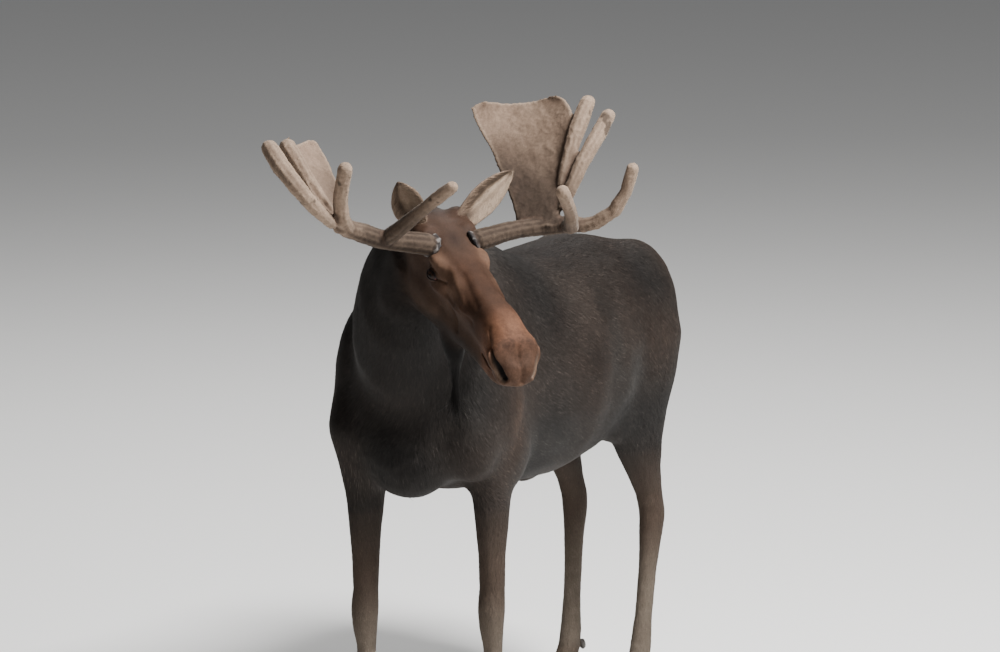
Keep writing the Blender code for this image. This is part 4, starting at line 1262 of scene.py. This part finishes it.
def coatFields(places, weights):
    # how dense the tufts stand and how long they are, as shares, at each place of the skin
    local = mirrored(toHead(places))
    _, forward, up = local.T
    head = step(weights[:, regionOf["head"]], 0.3, 0.8)
    bare = [1 - step(lidRings, 0.0030, 0.0060)]
    bare += [step(dark, 0.10, 0.35) for dark in darkCuts.values()]
    density = 1 - np.maximum.reduce(bare)
    density *= step(places[:, 2], 0.075, 0.09)
    density *= 1 + head * (0.9 * step(forward, 0.12, 0.30) + 0.5 * step(forward, 0.50, 0.58))
    length = np.ones(len(places))
    length *= 1 - head * (0.40 * step(forward, 0.05, 0.25) + 0.22 * step(forward, 0.42, 0.58))
    length *= 1 - head * 0.35 * around(local, eyeShape["place"], (0.05, 0.05, 0.05))
    length *= 1 + 0.9 * step(-up, 0.10, 0.16) * head * step(-forward, -0.30, -0.10)
    share, size = trunkShares(places)
    notHead = 1 - head
    for place, radii, more in longerCoat.values():
        length += notHead * more * around(share, place, radii, size)
    neck = weights[:, regionOf["neck"]]
    length += 0.5 * neck * step(places[:, 2], 1.62, 1.80)
    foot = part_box("bell")[0].z
    bell = step(weights[:, regionOf["bell"]], 0.2, 0.7)
    length += bell * (0.4 + 2.2 * step(foot + 0.13 - places[:, 2], 0.0, 0.12))
    density *= 1 + bell * 1.2
    tail = step(weights[:, regionOf["tail"]], 0.2, 0.7)
    length += tail * 0.9
    coronet = step(-places[:, 2], -0.15, -0.10)
    length += coronet * 0.5
    return density, length


whiskers = {
    "seed": 7,
    "lashes": 46,
    "lashLength": 1.15,         # shares of the head's hair
    "whiskers": 70,
    "whiskerLength": (1.2, 2.4),
    "place": ((0.0, 0.06), (0.52, 0.64), (-0.17, -0.09)),   # side, forward, up
}


def lashes(sideName, w):
    # a row of dark lashes along the upper lid, and fine whiskers on lip and chin
    random = np.random.default_rng(w["seed"])
    s = eyeShape
    side = sides[sideName]
    ball = s["radius"] * headPose["size"]
    centre, outward, forward, up = eyeAxes(sideName)
    places, directions, grown, colours = [], [], [], []
    for spot in np.linspace(-0.8, 0.75, w["lashes"]):
        x, y = spot * s["openWide"], s["openTop"] * (1 - spot ** 2) ** 0.7 + 0.0016
        deep = math.sqrt(max(ball ** 2 - x * x - y * y, 0.0)) + s["lid"]
        places.append(centre + outward * deep + forward * x + up * y)
        lie = outward * 0.9 + forward * 0.5 * spot - up * 0.35
        directions.append(lie + random.normal(0, 0.12, 3))
        grown.append(w["lashLength"])
        colours.append(coatColours["bare"])
    for _ in range(w["whiskers"]):
        across, forward, up = [random.uniform(*reach) for reach in w["place"]]
        places.append(fromHead(np.array((side * across, forward, up))))
        directions.append(headDirection((side * 0.7, 0.6, -0.7)) + random.normal(0, 0.2, 3))
        grown.append(random.uniform(*w["whiskerLength"]))
        colours.append(coatColours["whorl"])
    return np.array(places), unit(np.array(directions)), np.array(grown), np.array(colours)


skinDensity, skinLength = coatFields(skinPlaces, skinWeights)
skinSource = hairSource(skinMesh, skinLie, skinColourAndPaintedLight, skinDensity, skinLength)
for seed, (name, (kind, wanted)) in enumerate(facePicks(skinMesh, skinWeights).items(), start=40):
    extra = lashes(name.removeprefix("coat_head_"), whiskers) if kind == "head" else None
    growCoat(name, skinSource, wanted, coatShape[kind], coatHair, seed * 3, extra)

# antlers

antlerShape = {
    "swell": 0.0010,
    "voxel": 0.0042,
    "fairing": 0.55,
    "fairingRounds": 16,
    "burrOut": 0.075,       # the burr, in the crown's level frame: outwards, forwards, up
    "burrForward": 0.036,
    "burrUp": -0.008,
    "burrRadius": 0.037,
    "burrThick": 0.0050,
    "knots": 13,            # lumps round the burr
    "swellSize": 0.045,     # slow lumps along the velvet, and how high they stand
    "swellHeight": 0.0022,
    "veinWidth": 0.013,
    "veinHeight": 0.0016,
    "burrSteps": (72, 8),   # round the beam, and round the burr's own thickness
}

crown = {"forward": 0.119, "up": 0.057, "size": 0.967}

velvetColours = {
    "velvet": (0.2050, 0.1420, 0.1030),
    # darker velvet near the burr, partly a painted shadow of the palms on the beams
    "low": (0.0260, 0.0180, 0.0135),
    # paler velvet, painted as highlight on the antlers' edges and tips; also paler patches at random
    "edge": (0.3000, 0.2200, 0.1620),
    # darker velvet in patches, and painted shade in the grooves
    "darkAndGrooveShade": (0.0700, 0.0460, 0.0340),
    "spot": (0.0330, 0.0240, 0.0190),
    "burr": (0.2500, 0.2320, 0.2200),
    "burrSkin": (0.0300, 0.0300, 0.0330),
}


def crownFrame(s):
    place = headMatrix @ np.array((0.0, -s["forward"], s["up"], 1.0))
    return Matrix.Translation(place[:3]) @ turned(z=headPose["turn"]) @ Matrix.Scale(s["size"], 4)


crownMatrix = crownFrame(crown)


def sided(values, side):
    return Vector((values[0] * side, -values[1], values[2]))


def burrAxes(side, s):
    centre = crownMatrix @ sided((s["burrOut"], s["burrForward"], s["burrUp"]), side)
    axis = (crownMatrix.to_3x3() @ sided((0.050, 0.008, 0.020), side)).normalized()
    return centre, axis


def burrRing(work, side, s):
    centre, axis = burrAxes(side, s)
    first = axis.orthogonal().normalized()
    second = axis.cross(first)
    steps, across = s["burrSteps"]
    rings = []
    for i in range(steps):
        a = 2 * math.pi * i / steps
        lump = 1.0 + 0.24 * math.sin(a * s["knots"]) * math.sin(a * 5 + side) + 0.25 * math.sin(a * 7)
        outward = first * math.cos(a) + second * math.sin(a)
        thick = s["burrThick"] * lump
        ring = []
        for j in range(across):
            b = 2 * math.pi * j / across
            away = outward * (s["burrRadius"] + thick * math.cos(b))
            ring.append(work.verts.new(centre + away + axis * (thick * 1.2 * math.sin(b))))
        rings.append(ring)
    for i in range(steps):
        here, there = rings[i], rings[(i + 1) % steps]
        for j in range(across):
            k = (j + 1) % across
            work.faces.new((here[j], there[j], there[k], here[k]))


def antlerColourAndPaintedLight(places, bulge, side, s):
    # bulge is above 0 on edges and tips and below 0 in grooves
    centre, axis = burrAxes(side, s)
    offset = places - np.array(centre)
    away = np.linalg.norm(offset, axis=1)
    along = offset @ np.array(axis)
    slow, fine = valueNoise(places, 0.060, 31), valueNoise(places, 0.014, 32)
    small = valueNoise(places, 0.0055, 33)
    # darker towards the burr: the velvet's darker base, and a painted shadow of the palm on the beams
    low = step(-away, -0.52, -0.26) * 0.92
    ring = np.abs(np.hypot(along, away - s["burrRadius"] * crown["size"] - 0.004))
    pale = step(-ring + 0.003 * fine, -0.014, -0.005) * step(small + 0.8 * fine, -0.05, 0.45)
    colour = layered(painted(velvetColours["velvet"], places), velvetColours, (
        ("low", low),
        # painted highlight: paler on edges and tips
        ("edge", step(bulge, 0.10, 0.85) * 0.75 * (1 - 0.85 * low)),
        # painted shade in the grooves
        ("darkAndGrooveShade", step(-bulge, 0.10, 0.70) * 0.70),
        ("edge", np.clip(0.02 + 0.30 * slow, 0, 1) * (1 - low)),
        ("darkAndGrooveShade", np.clip(-0.10 - 0.40 * slow + 0.20 * fine, 0, 1)),
        ("spot", step(slow + 0.7 * fine, 0.72, 1.15) * step(bulge, 0.0, 0.3) * 0.8),
        ("burrSkin", step(-along, -0.016, 0.002) * 0.9),
        ("burr", pale * 0.70),
    ))
    return colour * (1 + 0.14 * fine + 0.16 * small)[:, None]


def makeAntler(sideName, s):
    side = sides[sideName]
    names = [n for n in nodes if n.startswith(f"antler_{sideName}_")]
    mesh = joinedCopy(f"antler_{sideName}", names, s["swell"])
    work = bmesh.new()
    work.from_mesh(mesh)
    burrRing(work, side, s)
    bmesh.ops.recalc_face_normals(work, faces=work.faces)
    work.to_mesh(mesh)
    work.free()
    mesh = remeshed(f"antler_{sideName}", mesh, s["voxel"])
    pairs = edgePairs(mesh)
    places = faired(pairs, coordinates(mesh), s["fairingRounds"], s["fairing"])
    setCoordinates(mesh, places)
    out = normals(mesh)
    bulge = ((places - smoothed(pairs, places, 14)) * out).sum(axis=1)
    bulge = smoothed(pairs, bulge, 3).ravel() / 0.0012
    lumps = valueNoise(places, s["swellSize"], 3) * s["swellHeight"]
    bent = places + 0.02 * np.stack([lumps, -lumps, lumps], axis=1) / s["swellHeight"]
    veins = valueNoise(bent * (1, 1, 0.4), s["veinWidth"], 5)
    vein = (1 - np.abs(veins)) ** 4
    lumps += vein * s["veinHeight"]
    places = places + out * (lumps - 0.0016)[:, None]
    setCoordinates(mesh, places)
    colours = antlerColourAndPaintedLight(places, bulge + 0.20 * vein - 0.1, side, s)
    setColour(mesh, colours)
    antler = newObject(f"antler_{sideName}", mesh)
    mesh.shade_smooth()
    mesh.materials.append(velvet)
    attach(antler, "root")
    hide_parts(*names)
    # the pile of the velvet lies outwards along beam, palm and tines
    centre = np.array(burrAxes(side, s)[0])
    lie = unit(places - centre) + 0.3 * np.stack([veins, -veins, veins * 0], axis=1)
    lie = flattened(lie, normals(mesh))
    density = np.ones(len(places)) + step(bulge, 0.1, 0.7)
    source = hairSource(mesh, lie, colours, density, np.ones(len(places)))
    wanted = np.ones(len(mesh.polygons), dtype=bool)
    growCoat(f"velvet_{sideName}", source, wanted, velvetPile, velvet, 900 + int(side))


velvetPile = {"tufts": 9000, "length": 0.0055, "width": 0.0010, "lift": 0.20, "round": 0.15,
              "sway": 0.30, "swayTogether": 0.2, "clump": 0.03, "tone": 0.10, "rootTone": 1.05,
              "tipTone": 1.35, "glints": 0.05, "glint": 1.4, "lock": 0.010, "relief": 0.10}
velvet = pileMaterial("velvet", pileLooks["velvet"])
for sideName in sides:
    makeAntler(sideName, antlerShape)

# ears

earShape = {
    "base": (0.088, -0.055, 0.050),     # in the crown's level frame
    "axis": {"left": (0.1545, 0.02, 0.145), "right": (0.113, 0.106, 0.154)},
    "opens": {"left": (0.1, 0.95, 0.1), "right": (0.15, 0.8, -0.35)},
    # along the ear: distance, half width, half thickness, depth of the hollow
    "stations": ((-0.035, 0.028, 0.024, 0.0), (0.000, 0.034, 0.020, 0.006),
                 (0.035, 0.043, 0.009, 0.018), (0.080, 0.051, 0.006, 0.017),
                 (0.125, 0.049, 0.005, 0.013), (0.165, 0.038, 0.0045, 0.009),
                 (0.197, 0.022, 0.004, 0.006), (0.216, 0.010, 0.0035, 0.0),
                 (0.222, 0.004, 0.003, 0.0)),
    "along": 64,
    "around": 44,
    "ribs": 0.0012,         # height of the ridges in the cup
}

earColours = {
    "back": (0.0560, 0.0380, 0.0270),
    "cup": (0.2100, 0.1450, 0.1020),
    "cream": (0.4600, 0.3550, 0.2650),
    "rim": (0.2800, 0.2000, 0.1480),
    # painted shade deep in the ear's hollow at its base
    "deep": (0.0300, 0.0200, 0.0160),
    "paleShare": {"left": 1.0, "right": 0.35},
}

earHair = {"tufts": 4300, "length": 0.011, "width": 0.0010, "lift": 0.12, "round": 0.25,
           "sway": 0.16, "swayTogether": 0.15, "clump": 0.03, "tone": 0.12, "rootTone": 0.95,
           "tipTone": 1.18, "glints": 0.05, "glint": 1.4, "lock": 0.010, "relief": 0.15}


def makeEar(sideName, s):
    side = sides[sideName]
    base = crownMatrix @ sided(s["base"], side)
    turn = crownMatrix.to_3x3()
    axis = (turn @ sided(s["axis"][sideName], side)).normalized()
    across = axis.cross(turn @ sided(s["opens"][sideName], side)).normalized()
    opens = np.array(across.cross(axis).normalized())
    rows = np.array(s["stations"])
    spots = np.linspace(rows[0, 0], rows[-1, 0], s["along"])
    wide, thick, hollow = [np.interp(spots, rows[:, 0], rows[:, k]) for k in (1, 2, 3)]
    for values in (wide, thick, hollow):
        for _ in range(6):
            values[1:-1] = (values[:-2] + 2 * values[1:-1] + values[2:]) / 4
    angle = np.linspace(0, 2 * math.pi, s["around"], endpoint=False)
    t, facing = np.cos(angle), np.sin(angle)
    rim = 1 - t * t
    ribs = s["ribs"] * np.cos(t * 11) * rim * (facing > 0)
    places = np.empty((s["along"], s["around"], 3))
    for i, spot in enumerate(spots):
        body = thick[i] * np.sign(facing) * (0.25 + 0.75 * np.sqrt(rim)) * (np.abs(facing) > 1e-6)
        deep = body - hollow[i] * rim + ribs * min(hollow[i] / 0.02, 1.0)
        places[i] = (np.array(base + axis * spot) + (wide[i] * t)[:, None] * np.array(across)
                     + deep[:, None] * opens)
    count = s["around"]
    ring = np.arange(count)
    faces = []
    for i in range(s["along"] - 1):
        here, there = i * count + ring, (i + 1) * count + ring
        faces.append(np.stack([here, np.roll(here, -1), np.roll(there, -1), there], axis=1))
    mesh = bpy.data.meshes.new(f"ear_{sideName}")
    fillMesh(mesh, places.reshape(-1, 3), np.concatenate(faces))
    work = bmesh.new()
    work.from_mesh(mesh)
    bmesh.ops.holes_fill(work, edges=work.edges, sides=count)
    bmesh.ops.recalc_face_normals(work, faces=work.faces)
    work.to_mesh(mesh)
    work.free()
    mesh.shade_smooth()
    along = np.repeat(spots / rows[-1, 0], count)
    t, facing = np.tile(t, s["along"]), np.tile(facing, s["along"])
    colours = earColourAndPaintedLight(coordinates(mesh), along, t, facing, earColours["paleShare"][sideName])
    setColour(mesh, colours)
    ear = newObject(f"ear_{sideName}", mesh)
    mesh.materials.append(coatSkin)
    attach(ear, "root")
    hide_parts(f"ear_{sideName}")
    growEarHair(sideName, mesh, np.array(axis), np.array(across), along, t, facing, colours)


def earColourAndPaintedLight(places, along, t, facing, pale):
    # along from 0 at the base to 1 at the tip, t across from rim to rim
    fine, small = valueNoise(places, 0.020, 41), valueNoise(places, 0.006, 42)
    inner = step(facing, 0.0, 0.10)
    streak = step(np.cos(t * 11) + 0.5 * fine, -0.4, 0.7)
    back = layered(painted(earColours["back"], places), earColours, (
        ("rim", step(-along, -0.10, 0.05) * 0.35),
    ))
    cup = layered(painted(earColours["cup"], places), earColours, (
        ("back", np.full(len(places), (1 - pale) * 0.7)),
        ("cream", (0.35 + 0.45 * streak) * step(along, 0.10, 0.30) * pale),
        # painted shade in the hollow at the cup's base
        ("deep", step(-along, -0.24, -0.06) * step(-np.abs(t), -0.7, -0.3)),
    ))
    colour = layered(back * (1 - inner)[:, None] + cup * inner[:, None], earColours, (
        ("back", inner * step(-t, 0.20, 0.45) * 0.85),
        ("rim", step(np.abs(t), 0.86, 0.97) * 0.75),
        ("back", step(along, 0.88, 0.97) * 0.8),
    ))
    return colour * (1 + 0.14 * fine + 0.12 * small)[:, None]


def growEarHair(sideName, mesh, axis, across, along, t, facing, colours):
    inner = step(facing, 0.0, 0.10)
    # the hair in the cup grows from the rims across it, the rest towards the tip
    lie = axis + across * (-np.sign(t) * inner * 0.75 * step(np.abs(t), 0.1, 0.6))[:, None]
    lie = flattened(lie, normals(mesh))
    nearRim = step(np.abs(t), 0.55, 0.95)
    low = step(-along, -0.55, -0.15)
    length = 1 + inner * (1.5 * nearRim + 0.9 * low) + (1 - inner) * 0.25 * low
    length *= 1 - 0.45 * step(along, 0.80, 1.0)
    density = (0.6 + 0.8 * nearRim + 0.4 * inner) * step(along, -0.12, -0.05)
    pale = earColours["paleShare"][sideName]
    share = inner * (0.10 + 0.45 * nearRim) * pale * step(t, -0.5, -0.2)
    bright = blend(colours, earColours["cream"], share)
    source = hairSource(mesh, lie, bright, density, length)
    wanted = np.ones(len(mesh.polygons), dtype=bool)
    growCoat(f"ear_hair_{sideName}", source, wanted, earHair, coatHair,
             950 + int(sides[sideName]))


for sideName in sides:
    makeEar(sideName, earShape)

# hooves

hoofShape = {
    "voxel": 0.0032,
    "swell": 0.0002,
    "rounds": 18,
    "ringEvery": 0.0075,    # growth rings, and how high they stand
    "ringHeight": 0.0004,
}


hornLook = {
    "dark": (0.016, 0.013, 0.011, 1),
    "light": (0.060, 0.048, 0.038, 1),
    "worn": (0.120, 0.100, 0.080, 1),
    "wornBelow": 0.022,     # metres
    "streaks": (140.0, 140.0, 14.0),
}


def hornMaterial(s):
    made, tree, shader = nodeMaterial("hoof_horn", Roughness=0.42)
    place = addNode(tree, "ShaderNodeTexCoord").outputs["Object"]
    stretched = addNode(tree, "ShaderNodeMapping", {"Vector": place}, Scale=s["streaks"])
    streaks = addNoise(tree, stretched.outputs["Vector"], 1.0, 3.0)
    split = addNode(tree, "ShaderNodeSeparateXYZ", {"Vector": place})
    worn = ramp(tree, split.outputs["Z"], s["wornBelow"], 0.0)
    horn = mixColour(tree, s["dark"], s["light"], streaks)
    tree.links.new(mixColour(tree, horn, s["worn"], worn), shader.inputs["Base Color"])
    addRelief(tree, shader, streaks, 0.35, 0.001)
    return made


def makeHooves(s):
    names = [n for n in nodes if "claw" in n]
    mesh = remeshed("hooves", joinedCopy("hooves", names, s["swell"]), s["voxel"])
    places = coordinates(mesh)
    sole = places[:, 2] < 0.004
    places = smoothed(edgePairs(mesh), places, s["rounds"])
    places[sole, 2] = 0.0
    setCoordinates(mesh, places)
    out = normals(mesh)
    ring = np.sin(places[:, 2] / s["ringEvery"] * 2 * math.pi + 2 * valueNoise(places, 0.05, 51))
    places = places + out * (ring * s["ringHeight"] * step(places[:, 2], 0.004, 0.012))[:, None]
    places[:, 2] = np.maximum(places[:, 2], 0.0)
    setCoordinates(mesh, places)
    hooves = newObject("hooves", mesh)
    mesh.shade_smooth()
    mesh.materials.append(hornMaterial(hornLook))
    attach(hooves, "root")
    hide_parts(*names)


makeHooves(hoofShape)
report("hooves")

# eyes

eyeLook = {
    "bulge": 0.025,                 # how far the clear front stands proud, as a share of the ball
    "frontShare": 0.62,             # and how wide it is
    "pupil": (0.0078, 0.0046),      # half width and height of the level oval
    "iris": (0.0120, 0.0150),       # where it begins to end and where it ends
    "corner": (0.0170, 0.0205),     # where the red of the inner corner begins and is full
    "pupilColour": (0.0015, 0.0012, 0.0012, 1),
    "irisColours": ((0.030, 0.012, 0.006, 1), (0.010, 0.005, 0.003, 1)),
    "rimColour": (0.020, 0.009, 0.008, 1),
    "cornerColour": (0.200, 0.060, 0.050, 1),
}


def eyeMaterial(s):
    made, tree, shader = nodeMaterial("wet_eye", Roughness=0.06)
    shader.inputs["Specular IOR Level"].default_value = 0.12
    place = addNode(tree, "ShaderNodeTexCoord")
    split = addNode(tree, "ShaderNodeSeparateXYZ", {"Vector": place.outputs["Object"]})
    oval = addNode(tree, "ShaderNodeVectorMath", {0: place.outputs["Object"]}, operation="DIVIDE")
    oval.inputs[1].default_value = (*s["pupil"], 1000.0)
    pupil = addNode(tree, "ShaderNodeVectorMath", {0: oval.outputs["Vector"]}, operation="LENGTH")
    flat = addNode(tree, "ShaderNodeCombineXYZ", {"X": split.outputs["X"], "Y": split.outputs["Y"]})
    radius = addNode(tree, "ShaderNodeVectorMath", {0: flat.outputs[0]}, operation="LENGTH")
    streaks = addNode(tree, "ShaderNodeTexNoise", {"Vector": place.outputs["Object"]}, Scale=900.0)
    colour = mixColour(tree, *s["irisColours"], streaks.outputs["Fac"])
    colour = mixColour(tree, s["pupilColour"], colour, ramp(tree, pupil.outputs["Value"], 0.85, 1.15))
    rim = ramp(tree, radius.outputs["Value"], *s["iris"])
    colour = mixColour(tree, colour, s["rimColour"], rim)
    corner = ramp(tree, split.outputs["X"], *s["corner"])
    colour = mixColour(tree, colour, s["cornerColour"], corner)
    tree.links.new(colour, shader.inputs["Base Color"])
    return made


def makeEye(sideName, s):
    centre, outward, forward, _ = eyeAxes(sideName)
    ball = eyeShape["radius"] * headPose["size"]
    work = bmesh.new()
    bmesh.ops.create_uvsphere(work, u_segments=64, v_segments=48, radius=ball)
    for vertex in work.verts:
        flat = math.hypot(vertex.co.x, vertex.co.y) / ball
        if vertex.co.z > 0 and flat < s["frontShare"]:
            vertex.co.z += ball * s["bulge"] * math.cos(flat / s["frontShare"] * math.pi / 2) ** 2
    mesh = bpy.data.meshes.new(f"eye_{sideName}")
    work.to_mesh(mesh)
    work.free()
    mesh.shade_smooth()
    eye = newObject(f"eye_{sideName}", mesh)
    axes = Matrix((forward, np.cross(outward, forward), outward)).transposed().to_4x4()
    eye.matrix_world = Matrix.Translation(centre) @ axes
    mesh.materials.append(wetEye)
    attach(eye, "root")
    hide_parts(f"eye_{sideName}")


wetEye = eyeMaterial(eyeLook)
for sideName in sides:
    makeEye(sideName, eyeLook)
report("eyes")

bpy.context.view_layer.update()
report("done")
